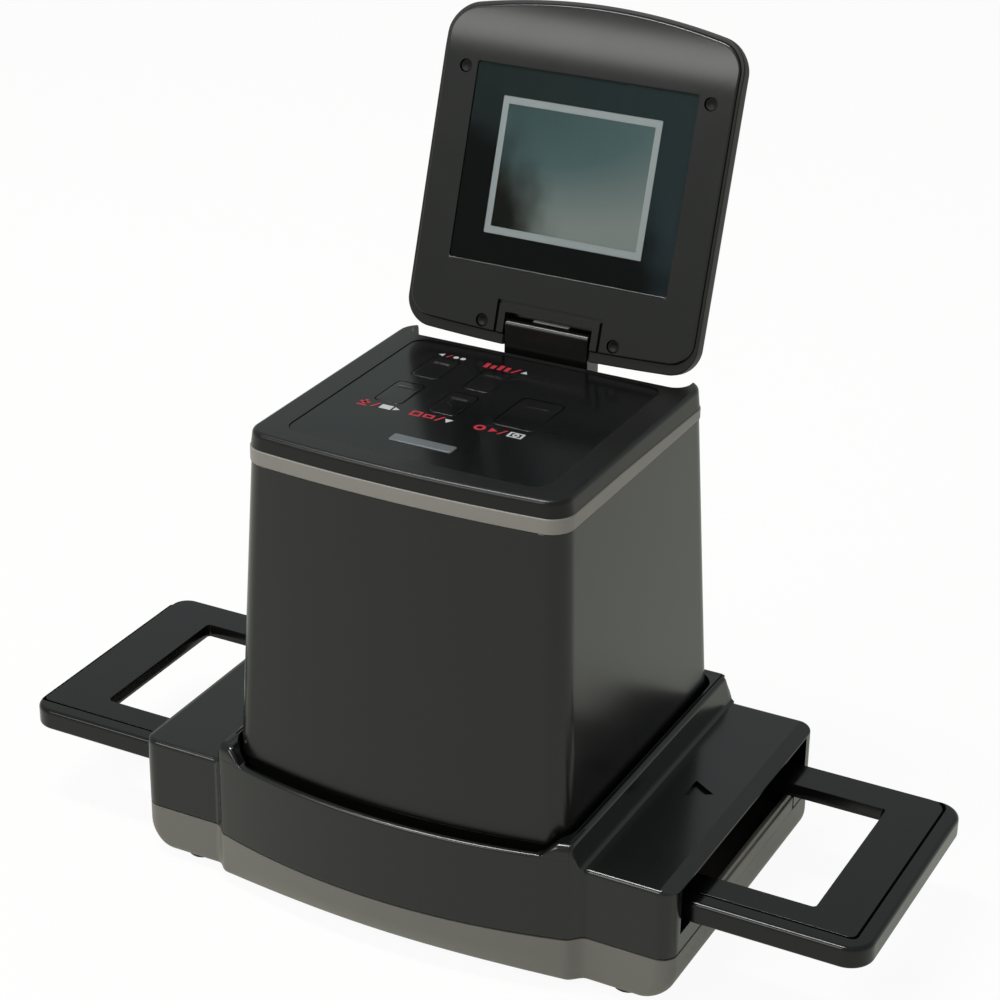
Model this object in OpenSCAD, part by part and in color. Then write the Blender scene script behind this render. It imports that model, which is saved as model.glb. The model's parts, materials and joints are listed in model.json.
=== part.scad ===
// Film negative scanner: a tower with a hinged display lid on a two-tone base, and a sliding film tray.
// Millimetres. X runs along the tray, Y to the back, Z up from the surface that the scanner stands on.

/* [Base] */
// Width of the base over its two wings
base_w = 173; // [164:1:184]
// Distance from the tower's axis to the front of the wings
wing_front = 48; // [46:0.5:50]
// Distance from the tower's axis to the back of the wings
wing_back = 57; // [56:0.5:62]
// Width of the bowed centre of the base
centre_w = 117; // [114:1:124]
// Distance from the tower's axis to the front corners of the centre
centre_front = 51; // [50:0.5:54]
// How far the front of the centre bows out at its middle
centre_bow = 8.8; // [6:0.2:12]
// Corner radius of the wings
wing_r = 5; // [3:0.5:7]
// Height of the rubber feet
foot_h = 2.2; // [1.6:0.1:4]
// Diameter of the rubber feet
foot_d = 9; // [6:0.5:11]
// Height of the lower shell
shell_h = 14.9; // [14:0.1:17]
// Height of the wings above the lower shell
wing_h = 22; // [21.5:0.5:26]
// How far the front wall of the centre stands above the wings
front_rise = 4.3; // [3:0.1:6]
// How far the collar beside the tower stands above the wings
collar_rise = 8.3; // [7:0.1:11]
// Thickness of the collar at its top
collar_t = 3; // [2.4:0.2:4]
// Rounding of the base's lower edge at the middle of its front
belly_r = 9.5; // [4:0.5:10]
// Rounding of the base's lower edge elsewhere along the front and back
side_r = 2.6; // [2.5:0.1:4]
// Rounding of the base's lower edge at its two ends
end_r = 8.5; // [6:0.5:11]
// Wall of the base's shells
base_wall = 2; // [1.6:0.1:2.4]
// Thickness of the deck over the film channel
deck_t = 1.6; // [1.2:0.1:2.2]

/* [Tower] */
// Width of the tower at its foot
foot_w = 107.4; // [102:0.2:108]
// Width of the tower below the band
top_w = 98.8; // [96:0.2:101]
// Distance from the axis to the front corners at the foot
foot_front = 48; // [46:0.1:48.4]
// Distance from the axis to the front corners below the band
top_front = 44.6; // [44:0.1:46]
// Bow of the front at the foot
foot_bow = 7; // [3:0.1:7.4]
// Bow of the front below the band
top_bow = 2.8; // [1:0.1:4]
// Distance from the axis to the back at the foot
foot_back = 54.8; // [53:0.1:55]
// Distance from the axis to the back below the band
top_back = 49; // [48.6:0.1:50.5]
// Height of the housing from the deck to the band
housing_h = 97.5; // [92:0.5:110]
// Height of the step round the tower's foot
step_h = 5.2; // [3:0.1:7]
// Radius of the tower's front corners
tower_r = 4.5; // [4:0.5:8]
// Radius of the tower's back corners
tower_back_r = 5; // [4:0.5:8]
// Wall of the housing
housing_wall = 2.2; // [1.8:0.1:2.6]
// Height of the trim band
band_h = 4.5; // [3.5:0.1:6]
// How far the band stands out from the housing
band_out = 0.3; // [0.1:0.1:0.6]
// Height of the bezel above the band
bezel_h = 5; // [4.6:0.1:6]

/* [Control panel] */
// Width of the control panel
panel_w = 80.4; // [76:0.2:82]
// Distance from the axis to the panel's front edge
panel_front = 38.6; // [37:0.1:39.4]
// Distance from the axis to the panel's back edge
panel_back = 38; // [37:0.1:38.4]
// Thickness of the control panel
panel_t = 2; // [1.6:0.1:2.4]
// Width of a small button
key_w = 8.6; // [7:0.1:9.4]
// Length of a small button
key_l = 15; // [12:0.1:16]
// Width of the large button
ok_w = 13; // [11:0.1:15]
// Length of the large button
ok_l = 20.5; // [17:0.1:22]
// Travel of a button
key_travel = 0.8; // [0.4:0.1:0.8]
// How far a button stands above the panel
key_proud = 0.6; // [0.3:0.1:1]
// Length of the indicator window
window_l = 19.5; // [14:0.1:22]
// Width of the indicator window
window_w = 4.3; // [3:0.1:5]

/* [Lid] */
// Width of the lid's back shell
lid_w = 94.4; // [92:0.2:98]
// Distance from the hinge to the lid's free edge at its corners
lid_top = 91.2; // [88:0.2:96]
// Bow of the lid's free edge
lid_bow = 5.8; // [3:0.1:8]
// Distance from the hinge to the lid's lower corners
lid_drop = 3.2; // [2.6:0.1:3.6]
// Bow of the lid's lower edge
lid_low_bow = 1.5; // [0.5:0.1:2]
// Corner radius of the lid
lid_r = 8; // [6.5:0.5:9]
// Rounding of the lid's back edge
lid_edge_r = 4; // [2:0.2:4.4]
// Thickness of the lid
lid_t = 8.2; // [8.2:0.1:9.6]
// Rim of the back shell round the bezel
lid_rim = 1; // [0.8:0.1:1.6]
// Radius of the curve in the upper part of the lid
visor_r = 60; // [50:1:90]
// Where the curve starts, from the hinge
visor_start = 77; // [76:0.5:80]
// Lean of the open lid from upright
lid_lean = 17.7; // [10:0.1:25]
// Width of the screen glass
glass_w = 70.4; // [66:0.2:76]
// Height of the screen glass
glass_h = 57.8; // [54:0.2:60]
// Distance from the hinge to the glass
glass_low = 18.3; // [17:0.1:19]
// Width of the display
display_w = 51; // [48:0.5:54]
// Height of the display
display_h = 40.4; // [38:0.2:42]

/* [Hinge] */
// Width of the hinge block
block_w = 27.2; // [22:0.2:28]
// Radius of the hinge barrel
barrel_r = 4; // [3.6:0.1:4.2]
// Radius of the hinge pin
pin_r = 1.3; // [1:0.1:1.4]
// Height of the hinge above the bezel
hinge_up = 4.95; // [4.9:0.05:6]
// Distance from the axis to the hinge
hinge_back = 46.3; // [46:0.1:47]

/* [Film tray] */
// Length of the film tray
tray_l = 274; // [260:1:290]
// How far the tray stands off centre, towards +X
tray_shift = 1.5; // [0:0.5:4]
// Distance from the axis to the tray's front edge
tray_front = 38.2; // [37:0.1:38.6]
// Distance from the axis to the tray's back edge
tray_back = 45; // [44:0.1:45.4]
// Thickness of the tray
tray_t = 6.6; // [6:0.1:7.4]
// Corner radius of the tray
tray_r = 7.5; // [5:0.5:9]
// Width of the film window at the film
film_w = 56; // [54:0.5:57]
// Length of the film window at the film
film_l = 233; // [220:1:236]
// Slope of the film window's walls, from the film to the tray's face
film_bevel = 1.9; // [1:0.1:2.4]
// Thickness of the tray's cover
cover_t = 3; // [2.6:0.1:3.2]
// Distance from the axis back to the middle of the film
film_y = 4.5; // [4:0.1:5]

/* [Optics] */
// Length of the gate that the lens sees
gate_l = 84; // [76:1:86]
// Height of the light tunnel
tunnel_h = 56; // [50:1:60]
// Radius of the lens barrel
lens_r = 9; // [8:0.5:11]
// Length of the lens barrel
lens_l = 16; // [12:0.5:18]

/* [Hidden] */

black_satin = "#1d1e1f";
black_gloss = "#141516";
warm_grey = "#67625d";
steel = "#9a9c9f";
circuit_green = "#1f4a32";

eps = 0.01;          // thickness of the slabs that a hull joins, and overlap of cuts
fit = 0.3;           // clearance between parts that are put together
running_fit = 0.05;  // clearance of a pin in its bore
screw_r = 1.2;       // shaft of every screw
thread = 0.1;        // how far a screw bites into its boss
head_r = 2.3;        // head of every screw
head_t = 1.6;        // height of a screw's head
boss_r = 3;          // boss round a screw
arc_steps = 6;       // facets of a corner
bow_steps = 12;      // facets of a bowed edge

seam_z = foot_h + shell_h;
deck_z = seam_z + wing_h;
channel_top = deck_z - deck_t;
half_w = base_w/2;
centre_half = centre_w/2;
belly_steps = 6;     // facets of the base's rounded lower edge
trough_half = 49.8;  // half the length of the trough in front of the tower

// Film channel: the tray runs through it along X, on two ledges of the cover
tray_up = 7.9;
tray_z = seam_z + tray_up;
slot_front = tray_front + 3.8;
slot_back = tray_back + 5;
slot_floor = tray_z - 2;
tongue_front = 22;
tongue_back = 42;
ledge_w = 8;

// Tower
band_z = deck_z + housing_h;
bezel_z = band_z + band_h;
top_z = bezel_z + bezel_h;
step_in = 0.8;       // depth of the step round the tower's foot
tower_screw_l = 12;
base_screw_in = 4.2; // from the side of the tower's foot in to the middle of a base screw
collar_in = foot_w/2 + 0.5;
collar_out = collar_in + collar_t;

// Control panel
panel_z = top_z - 0.2;
panel_under = panel_z - panel_t;
panel_r = 5;
panel_bow = 0.8;
board_t = 1.6;
key_gap = 0.25;
key_flange_t = 1.2;
key_flange_out = 0.9;
key_flange_z = panel_under - fit - key_flange_t;
mat_dome_z = key_flange_z - key_travel - 0.1;
mat_t = 1;
panel_screw_l = 6;
mat_dome_h = 1.2;
mat_z = mat_dome_z - mat_dome_h - mat_t;
mat_w = 62;
mat_l = 46;
mat_y = 8;
board_z = mat_z - board_t;
board_w = 76;
board_l = 70;
// Middle of each small button, and of the large one
keys = [[-24.4, 20], [-6.6, 18.6], [-24.6, -0.6], [-7.3, -0.5]];
ok_at = [14.5, 3.2];
window_at = [-1.9, -28.2];
panel_posts = [for (x = [-1, 1], y = [8.6 - panel_front, panel_back - 7]) [x*(panel_w/2 - 6.2), y]];

// Hinge and lid. The lid's own frame has its origin on the hinge, X along it, Y up the lid and
// Z out of the screen
hinge_z = top_z + hinge_up;
face_n = hinge_up - 0.9;
notch_half = block_w/2 + 0.6;
notch_top = barrel_r + 0.8;
hinge_pin_in = 6;    // length of a hinge pin inside the block
lug_r = 2.5;
lug_t = 4;
bezel_t = 3.4;
bezel_gap = 0.1;     // between the bezel and the back shell round it
bezel_up = 2;        // how far the bezel's lower edge stands above the back shell's
rim_set_back = 0.8;
lid_wall = 1.5;
ear_in = 5.3;        // from the panel's side to the bezel's ear
recess_half_w = panel_w/2 + ear_in;
recess_r = 4;
recess_l = 30;
recess_front = panel_back + 2;
glass_t = 1.2;
glass_set_back = 0.25;
glass_mid = glass_low + glass_h/2;
glass_under = face_n - glass_set_back - glass_t;
display_low = 8.7;   // from the glass's lower edge up to the display's
display_rim = 3.5;   // the module's frame round the display
display_t = 3.4;
ribbon_w = 11.6;
ribbon_t = 0.3;
ribbon_n = glass_set_back + glass_t + display_t - face_n + 0.1;
ribbon_y = hinge_back - 2;
ribbon_room = 0.8;   // half the width of the ribbon's shaft
plug_out = 3.9;      // from the glass's side to the middle of a plug
plug_down = 2;       // from the glass's top down to it
low_plug_out = 7.2;  // from the notch to the middle of a lower plug
low_plug_v = 1.4;
lid_screw_spots = [for (x = [-1, 1], p = [[glass_w/2 + plug_out, glass_low + glass_h - plug_down],
                                          [notch_half + low_plug_out, low_plug_v]]) [x*p.x, p.y]];
plug_r = 1.85;
plug_t = 1.5;
lid_screw_depth = 2.8;

// The middle of the overall box, which the origin stands under: from the base's bow to the lid's back edge
lid_reach = hinge_back + (lid_top + lid_bow - lid_edge_r)*sin(lid_lean)
            - (face_n - lid_t + lid_edge_r)*cos(lid_lean) + lid_edge_r;
middle_x = tray_shift;
middle_y = (lid_reach - centre_front - centre_bow)/2;

// Tray
cover_front = tray_front - 5.7;
cover_back = tray_back - 0.8;
cover_left = tray_l/2 - 1.3;
cover_right = tray_l/2 - 5.5;
film_z = tray_z + tray_t - cover_t;
window_x = tray_shift - 1;
web_t = 1.2;         // the frame's web that the film lies on
web_in = 6;          // how far the frame is hollow under the web
tray_knuckle_x = 109;
tray_knuckle_l = 6;
tray_pin_r = 0.8;
tray_pin_at = [tray_back - 2.6, film_z + 1.4];

// Optics
tunnel_wall = 1.6;
gate_w = film_w + 1;
gate_rim = 8;
gate_gap = 1.2;      // between the tray and the gate
tunnel_flange = 6;
tunnel_top = deck_z + tunnel_h;
sensor_z = tunnel_top + lens_l;
sensor_w = 8.4;
sensor_t = 1.2;
sensor_board_w = 34;
lens_wall = 2.2;
lens_seat = tunnel_top + 5;
lens_ball = 16;      // radius of the lens's two faces
lens_bulge = 0.6;    // how far each face stands out from the rim's plane
lamp_box_wall = 2;
diffuser_t = 2;
diffuser_z = tray_z - 2.4 - diffuser_t;
lamp_board_z = foot_h + base_wall + 3;

// Main board, upright inside the back of the tower, with the sockets that it carries
board_y = top_back - 7.4;
main_board_w = 72;
main_board_h = 62;
main_board_z = deck_z + 9;
post_in = 5;         // from the board's edge to the middle of a post
board_screw_l = 5;
board_posts = [for (x = [-1, 1], z = [main_board_z + post_in, main_board_z + main_board_h - post_in])
    [x*(main_board_w/2 - post_in), z]];
socket_z = main_board_z + 8;
socket = [8.4, 9, 4.2];
socket_at = [-18, socket_z];
card = [27, 9, 3.2];
card_at = [8, socket_z];

// ---- helpers ----

// A quarter round from angle a
function corner(cx, cy, r, a) =
    [for (i = [0:arc_steps]) let (t = a + 90*i/arc_steps) [cx + r*cos(t), cy + r*sin(t)]];

// Points inside a straight edge from x0 to x1
function edge(x0, x1, y) = [for (i = [1:bow_steps - 1]) [x0 + (x1 - x0)*i/bow_steps, y]];

// Rounded rectangle between y = -front and y = back, whose back corners have radius rb
function rounded(hw, front, back, r, rb) = concat(
    corner(hw - rb, back - rb, rb, 0), edge(hw - rb, rb - hw, back), corner(rb - hw, back - rb, rb, 90),
    corner(r - hw, r - front, r, 180), edge(r - hw, hw - r, -front), corner(hw - r, r - front, r, 270));

// The same with its front edge bowed out by bow, and its back edge by back_bow
function bowed(hw, front, back, r, rb, bow, back_bow = 0) =
    [for (p = rounded(hw, front, back, r, rb)) let (k = 1 - pow(p.x/hw, 2))
        [p.x, p.y < (back - front)/2 ? p.y - bow*k : p.y + back_bow*k]];

function mix(a, b, t) = a + (b - a)*t;

// The tower's outline at height z, drawn in by inset
function tower_outline(z, inset = 0) =
    let (t = (z - deck_z)/housing_h)
    bowed(mix(foot_w, top_w, t)/2 - inset, mix(foot_front, top_front, t) - inset,
          mix(foot_back, top_back, t) - inset, max(tower_r - inset, 0.5), max(tower_back_r - inset, 0.5),
          mix(foot_bow, top_bow, t));

// The base's wings, drawn in by end at their ends and by side along their front and back
function wing_outline(end = 0, side = 0) =
    let (r = max(wing_r - side, 0.5)) rounded(half_w - end, wing_front - side, wing_back - side, r, r);

// The base's centre, drawn in by side, and by middle where its front bows out most
function centre_outline(side = 0, middle = 0) =
    bowed(centre_half - side, centre_front - side, wing_back + 1 - side, 3, 4, centre_bow - middle + side);

// How far a round of radius r stands in from its upright, at height h over its foot
function belly(r, h) = h >= r ? 0 : r - sqrt(r*r - pow(r - h, 2));

module plate(points, z0, z1) translate([0, 0, z0]) linear_extrude(z1 - z0) polygon(points);

// Solid between outline a at z0 and outline b at z1
module taper(a, z0, b, z1) hull() {
    plate(a, z0, z0 + eps);
    plate(b, z1 - eps, z1);
}

module box(low, high) translate(low) cube(high - low);

// Cylinder along Z between two heights
module post(at, r, z0, z1) translate([at.x, at.y, z0]) cylinder(r = r, h = z1 - z0, $fn = 48);

module rounded_plate(w, l, r, z0, z1) translate([0, 0, z0]) linear_extrude(z1 - z0) {
    square([w - 2*r, l], center = true);
    square([w, l - 2*r], center = true);
    for (x = [-1, 1], y = [-1, 1]) translate([x*(w/2 - r), y*(l/2 - r)]) circle(r = r, $fn = 48);
}

// Screw whose head hangs down from head_z, and whose shaft stands up from it
module screw(at, head_z, length) {
    post(at, head_r, head_z - head_t, head_z);
    post(at, screw_r, head_z - eps, head_z + length);
}

// Puts a shape drawn in the lid's own frame where the open lid is
module on_lid() translate([0, hinge_back, hinge_z]) rotate([90 - lid_lean, 0, 0]) children();

// ---- base ----

foot_spots = [for (x = [-1, 1], y = [-wing_front + foot_d/2 + 3, wing_back - foot_d/2 - 4])
    [x*(half_w - 15.5), y]];
base_screw_spots = [for (x = [-1, 1], y = [-centre_front + 4.5, wing_back - 7])
    [x*(foot_w/2 - base_screw_in), y]];
tower_screw_spots = [for (x = [-1, 1], p = [[foot_w/2 - 7, -foot_front + 7.4],
                                           [foot_w/2 - 12, foot_back - 6.4]]) [x*p.x, p.y]];

module base_outline(inset = 0) {
    polygon(wing_outline(inset, inset));
    polygon(centre_outline(inset, inset));
}

// The lower shell's form: upright, then rounded in to its flat bottom
module lower_form(inset) {
    z0 = foot_h + inset;
    heights = [for (i = [0:belly_steps]) end_r*pow(i/belly_steps, 2)];
    hull() {
        for (h = heights)
            plate(wing_outline(inset + belly(end_r - inset, h), inset + belly(side_r - inset, h)),
                  z0 + h, z0 + h + eps);
        plate(wing_outline(inset, inset), seam_z - eps, seam_z + inset);
    }
    hull() {
        for (h = heights)
            plate(centre_outline(inset + belly(side_r - inset, h), inset + belly(belly_r - inset, h)),
                  z0 + h, z0 + h + eps);
        plate(centre_outline(inset, inset), seam_z - eps, seam_z + inset);
    }
}

module lower_shell() color(warm_grey) {
    floor_z = foot_h + base_wall - eps;
    difference() {
        union() {
            difference() {
                lower_form(0);
                lower_form(base_wall);
            }
            for (p = base_screw_spots) post(p, boss_r, floor_z, seam_z);
            lamp_box(floor_z);
            for (x = [-1, 1]) end_tongue(x);
        }
        for (p = base_screw_spots) {
            post(p, screw_r + fit, foot_h, seam_z + 1);
            post(p, head_r + fit, foot_h - 1, foot_h + head_t + 0.4);
        }
    }
}

// Walls round the lamps, and the posts that their board stands on
module lamp_box(floor_z) translate([0, film_y, 0]) {
    half_l = gate_l/2 + 2;
    half_b = film_w/2 + 2;
    difference() {
        box([-half_l - lamp_box_wall, -half_b - lamp_box_wall, floor_z],
            [half_l + lamp_box_wall, half_b + lamp_box_wall, diffuser_z]);
        box([-half_l, -half_b, foot_h], [half_l, half_b, diffuser_z + 1]);
    }
    for (x = [-1, 1], y = [-1, 1]) post([x*(half_l - 4), y*(half_b - 5)], 2.5, floor_z, lamp_board_z);
}

// The shell's end wall rises between the cover's jaws to the channel's floor, with a small step
module end_tongue(side) {
    x0 = side*(half_w - base_wall);
    x1 = side*half_w;
    box([min(x0, x1), -tongue_front, seam_z - 3], [max(x0, x1), tongue_back, slot_floor - 2]);
    box([min(x0, x1 - side*0.6), -tongue_front, slot_floor - 2 - eps],
        [max(x0, x1 - side*0.6), tongue_back, slot_floor]);
}

module rubber_feet() color("#222222")
    for (p = foot_spots) translate([p.x, p.y, 0]) rotate_extrude($fn = 48)
        polygon([[0, 0], [foot_d/2 - 1, 0], [foot_d/2, 1], [foot_d/2, foot_h], [0, foot_h]]);

// Collar beside the tower, drawn as its section in X and Z
module collar_side() {
    up = deck_z + collar_rise;
    r = 2.2;
    translate([0, wing_back + 1, 0]) rotate([90, 0, 0]) linear_extrude(wing_back + 1 + centre_front)
        polygon(concat([[collar_in, channel_top + 0.4], [collar_in, up]],
                       [for (a = [90:-15:0]) [collar_out - r + r*cos(a), up - r + r*sin(a)]],
                       [[collar_out + 1.2, deck_z + 1.4], [centre_half + 2.4, deck_z],
                        [centre_half + 2.4, channel_top + 0.4]]));
}

module base_cover() color(black_satin) {
    edge_r = 1.2;
    rim = base_wall - 0.4;
    front_z = deck_z + front_rise;
    difference() {
        union() {
            translate([0, 0, seam_z]) linear_extrude(wing_h - edge_r) base_outline();
            taper(wing_outline(), deck_z - edge_r, wing_outline(edge_r, edge_r), deck_z);
            plate(centre_outline(), seam_z, front_z - edge_r/2);
            taper(centre_outline(), front_z - edge_r/2, centre_outline(edge_r/2, edge_r/2), front_z);
            for (m = [0, 1]) mirror([m, 0, 0]) collar_side();
            box([-collar_out, foot_back + 0.5, deck_z], [collar_out, wing_back + 1, deck_z + collar_rise]);
        }
        // inside, below the deck
        translate([0, 0, seam_z - 1]) linear_extrude(channel_top - seam_z + 1) base_outline(base_wall);
        // tower's seat, and the trough in front of it
        plate(tower_outline(deck_z, -0.5), deck_z, deck_z + collar_rise + 1);
        intersection() {
            plate(centre_outline(rim, rim), deck_z, front_z + 1);
            box([-trough_half, -centre_front - centre_bow, deck_z], [trough_half, 0, front_z + 1]);
        }
        // light path and cables
        box([-gate_l/2 - 3, film_y - gate_w/2 - 3, channel_top - 1],
            [gate_l/2 + 3, film_y + gate_w/2 + 3, deck_z + 1]);
        // slots for the tray, and room for the lower shell's tongues
        box([-half_w - 1, -slot_front, slot_floor], [half_w + 1, slot_back, channel_top]);
        box([-half_w - 1, -tongue_front - fit, seam_z - 1], [half_w + 1, tongue_back + fit, slot_floor + 1]);
        for (p = tower_screw_spots) post(p, screw_r + fit, channel_top - 1, deck_z + 1);
        groove_lines();
        arrow_mark();
    }
    // ledges that the tray slides on, carried by the front and back walls
    for (side = [0, 1]) ledge(side);
    for (p = base_screw_spots) difference() {
        post(p, boss_r, seam_z, channel_top + eps);
        post(p, screw_r - thread, seam_z - 1, seam_z + 12);
    }
}

module ledge(side) {
    y0 = side == 0 ? -wing_front + 1 : tray_back - ledge_w;
    y1 = side == 0 ? -tray_front + ledge_w : wing_back - 1;
    difference() {
        box([-half_w + base_wall - eps, y0, slot_floor - 1.6], [half_w - base_wall + eps, y1, slot_floor]);
        for (p = base_screw_spots) post(p, boss_r - eps, seam_z, deck_z);
    }
    yr = side == 0 ? -tray_front + 1 : tray_back - ledge_w;
    box([-half_w + base_wall, yr, slot_floor - eps], [half_w - base_wall, yr + ledge_w - 1, tray_z - fit]);
}

// Line along the top of each side of the collar
module groove_lines() for (x = [-1, 1])
    translate([x*(collar_in + 1.4) - 0.2, -centre_front - 1, deck_z + collar_rise - 0.5])
        cube([0.4, centre_front + wing_back + 3, 1]);

// Arrow let into the right wing
module arrow_mark() translate([half_w - 18.4, 4.8, deck_z - 0.4]) linear_extrude(1)
    polygon([[0, -4.6], [7.4, 0], [0, 4.6]]);

module base_screws() color(steel)
    for (p = base_screw_spots) screw(p, foot_h + head_t + 0.4, shell_h + 6);

module tower_screws() color(steel)
    for (p = tower_screw_spots) screw(p, channel_top, tower_screw_l);

// ---- film stage and lamps ----

module film_gate() color("#111111") translate([0, film_y, 0]) difference() {
    rounded_plate(gate_l + 2*gate_rim, gate_w + 2*gate_rim, 3, tray_z + tray_t + gate_gap, channel_top);
    rounded_plate(gate_l, gate_w, 1, tray_z, deck_z);
}

module diffuser_panel() color("#f2f2ee") translate([0, film_y, 0])
    rounded_plate(gate_l + 7, film_w + 7, 1, diffuser_z, diffuser_z + diffuser_t);

module backlight_board() color(circuit_green) translate([0, film_y, 0])
    rounded_plate(gate_l + 3.2, film_w + 3.2, 1, lamp_board_z, lamp_board_z + board_t);

module backlight_lamps() color("#f4efc8")
    for (x = [-1.5:1:1.5], y = [-1:1:1])
        translate([x*gate_l/4.4, film_y + y*film_w/3.4, lamp_board_z + board_t]) {
            translate([-1.8, -1.4, 0]) cube([3.6, 2.8, 0.6]);
            translate([0, 0, 0.6 - eps]) cylinder(r = 1.1, h = 0.5, $fn = 24);
        }

// ---- tower ----

module housing_form(inset, z0, z1) taper(tower_outline(z0, inset), z0, tower_outline(z1, inset), z1);

module tower_housing() color(black_satin) difference() {
    boss_h = 15;
    union() {
        difference() {
            union() {
                housing_form(0, deck_z + step_h, band_z);
                housing_form(step_in, deck_z, deck_z + step_h + eps);
            }
            housing_form(housing_wall, deck_z - 1, band_z + 1);
        }
        intersection() {
            union() {
                for (p = tower_screw_spots) {
                    post(p, boss_r, deck_z, deck_z + boss_h);
                    box([p.x > 0 ? p.x : -foot_w/2, p.y - 1, deck_z],
                        [p.x > 0 ? foot_w/2 : p.x, p.y + 1, deck_z + boss_h]);
                }
                for (p = board_posts) translate([p.x, board_y + board_t, p.y]) rotate([-90, 0, 0])
                    cylinder(r = boss_r, h = 20, $fn = 48);
            }
            housing_form(housing_wall - 0.2, deck_z, band_z);
        }
    }
    for (p = tower_screw_spots) post(p, screw_r - thread, deck_z - 1, deck_z + boss_h - 2);
    for (p = board_posts) translate([p.x, board_y + board_t - 1, p.y]) rotate([-90, 0, 0])
        cylinder(r = screw_r - thread, h = board_screw_l, $fn = 48);
    mouth(socket_at, socket);
    mouth(card_at, card);
}

// Cut through the back wall for a socket
module mouth(at, size) translate([at.x, 0, at.y])
    box([-size.x/2 - fit, board_y + 3, -fit], [size.x/2 + fit, foot_back + 5, size.z + fit]);

module trim_band() color(warm_grey) difference() {
    plate(tower_outline(band_z, -band_out), band_z, bezel_z);
    plate(tower_outline(band_z, housing_wall), band_z - 1, bezel_z + 1);
}

module light_tunnel() color("#101010") translate([0, film_y, 0]) {
    bottom = [gate_l + 4, gate_w + 4];
    mouth = 2*lens_r + 4;
    corners = function (w, l) [[-w/2, -l/2], [w/2, -l/2], [w/2, l/2], [-w/2, l/2]];
    difference() {
        union() {
            taper(corners(bottom.x + 2*tunnel_wall, bottom.y + 2*tunnel_wall), deck_z,
                  corners(mouth + 2*tunnel_wall, mouth + 2*tunnel_wall), tunnel_top);
            rounded_plate(bottom.x + 2*tunnel_flange, bottom.y + 2*tunnel_flange, 3, deck_z, deck_z + 2);
        }
        taper(corners(bottom.x, bottom.y), deck_z - eps, corners(mouth, mouth), tunnel_top - 2);
        post([0, 0], lens_r - 1, tunnel_top - 3, tunnel_top + 1);
    }
}

module lens_barrel() color("#17181a") translate([0, film_y, 0]) difference() {
    union() {
        post([0, 0], lens_r + 2, tunnel_top, tunnel_top + 2.4);
        post([0, 0], lens_r, tunnel_top, sensor_z);
        post([0, 0], lens_r - 1 - running_fit, tunnel_top - 2, tunnel_top + 1);
    }
    post([0, 0], lens_r - lens_wall - 0.8, tunnel_top - 3, sensor_z + 1);
    post([0, 0], lens_r - lens_wall, lens_seat, sensor_z + 1);
}

// The lens, whose round faces stand out beyond its rim
module lens() color("#9fb4c4") translate([0, film_y, lens_seat + running_fit]) intersection() {
    rim_t = 4.6;
    cylinder(r = lens_r - lens_wall - running_fit, h = rim_t, $fn = 48);
    translate([0, 0, rim_t + lens_bulge - lens_ball]) sphere(r = lens_ball, $fn = 64);
    translate([0, 0, lens_ball - lens_bulge]) sphere(r = lens_ball, $fn = 64);
}

module image_sensor() color("#2b3137") translate([0, film_y, sensor_z])
    box([-sensor_w/2, -sensor_w/2, -sensor_t], [sensor_w/2, sensor_w/2, 0]);

module sensor_board() color(circuit_green) translate([0, film_y, 0])
    rounded_plate(sensor_board_w, sensor_board_w, 2, sensor_z, sensor_z + board_t);

module main_board() color(circuit_green) difference() {
    box([-main_board_w/2, board_y, main_board_z],
        [main_board_w/2, board_y + board_t, main_board_z + main_board_h]);
    for (p = board_posts) translate([p.x, board_y - 1, p.y]) rotate([-90, 0, 0])
        cylinder(r = screw_r + 0.2, h = 5, $fn = 48);
}

module usb_socket() color(steel) translate([socket_at.x, board_y + board_t, socket_at.y]) difference() {
    box([-socket.x/2, 0, 0], [socket.x/2, socket.y, socket.z]);
    box([-socket.x/2 + 0.5, 3, 0.5], [socket.x/2 - 0.5, socket.y + 1, socket.z - 0.5]);
}

module card_slot() color("#26282b") translate([card_at.x, board_y + board_t, card_at.y]) difference() {
    box([-card.x/2, 0, 0], [card.x/2, card.y, card.z]);
    box([-card.x/2 + 0.9, 1.5, 0.6], [card.x/2 - 0.9, card.y + 1, card.z - 0.5]);
}

module board_screws() color(steel)
    for (p = board_posts) translate([p.x, board_y, p.y]) rotate([-90, 0, 0]) {
        translate([0, 0, -head_t]) cylinder(r = head_r, h = head_t, $fn = 48);
        translate([0, 0, -eps]) cylinder(r = screw_r, h = board_screw_l, $fn = 48);
    }

// ---- top ----

// The cut between the bezel's two ears, which the lid turns down into
module recess(z0, z1) translate([0, recess_front + recess_l/2, 0])
    rounded_plate(2*recess_half_w, recess_l, recess_r, z0, z1);

module panel_cut(grow, z0, z1)
    plate(bowed(panel_w/2 + grow, panel_front + grow, panel_back + grow, panel_r, panel_r, panel_bow),
          z0, z1);

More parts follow.
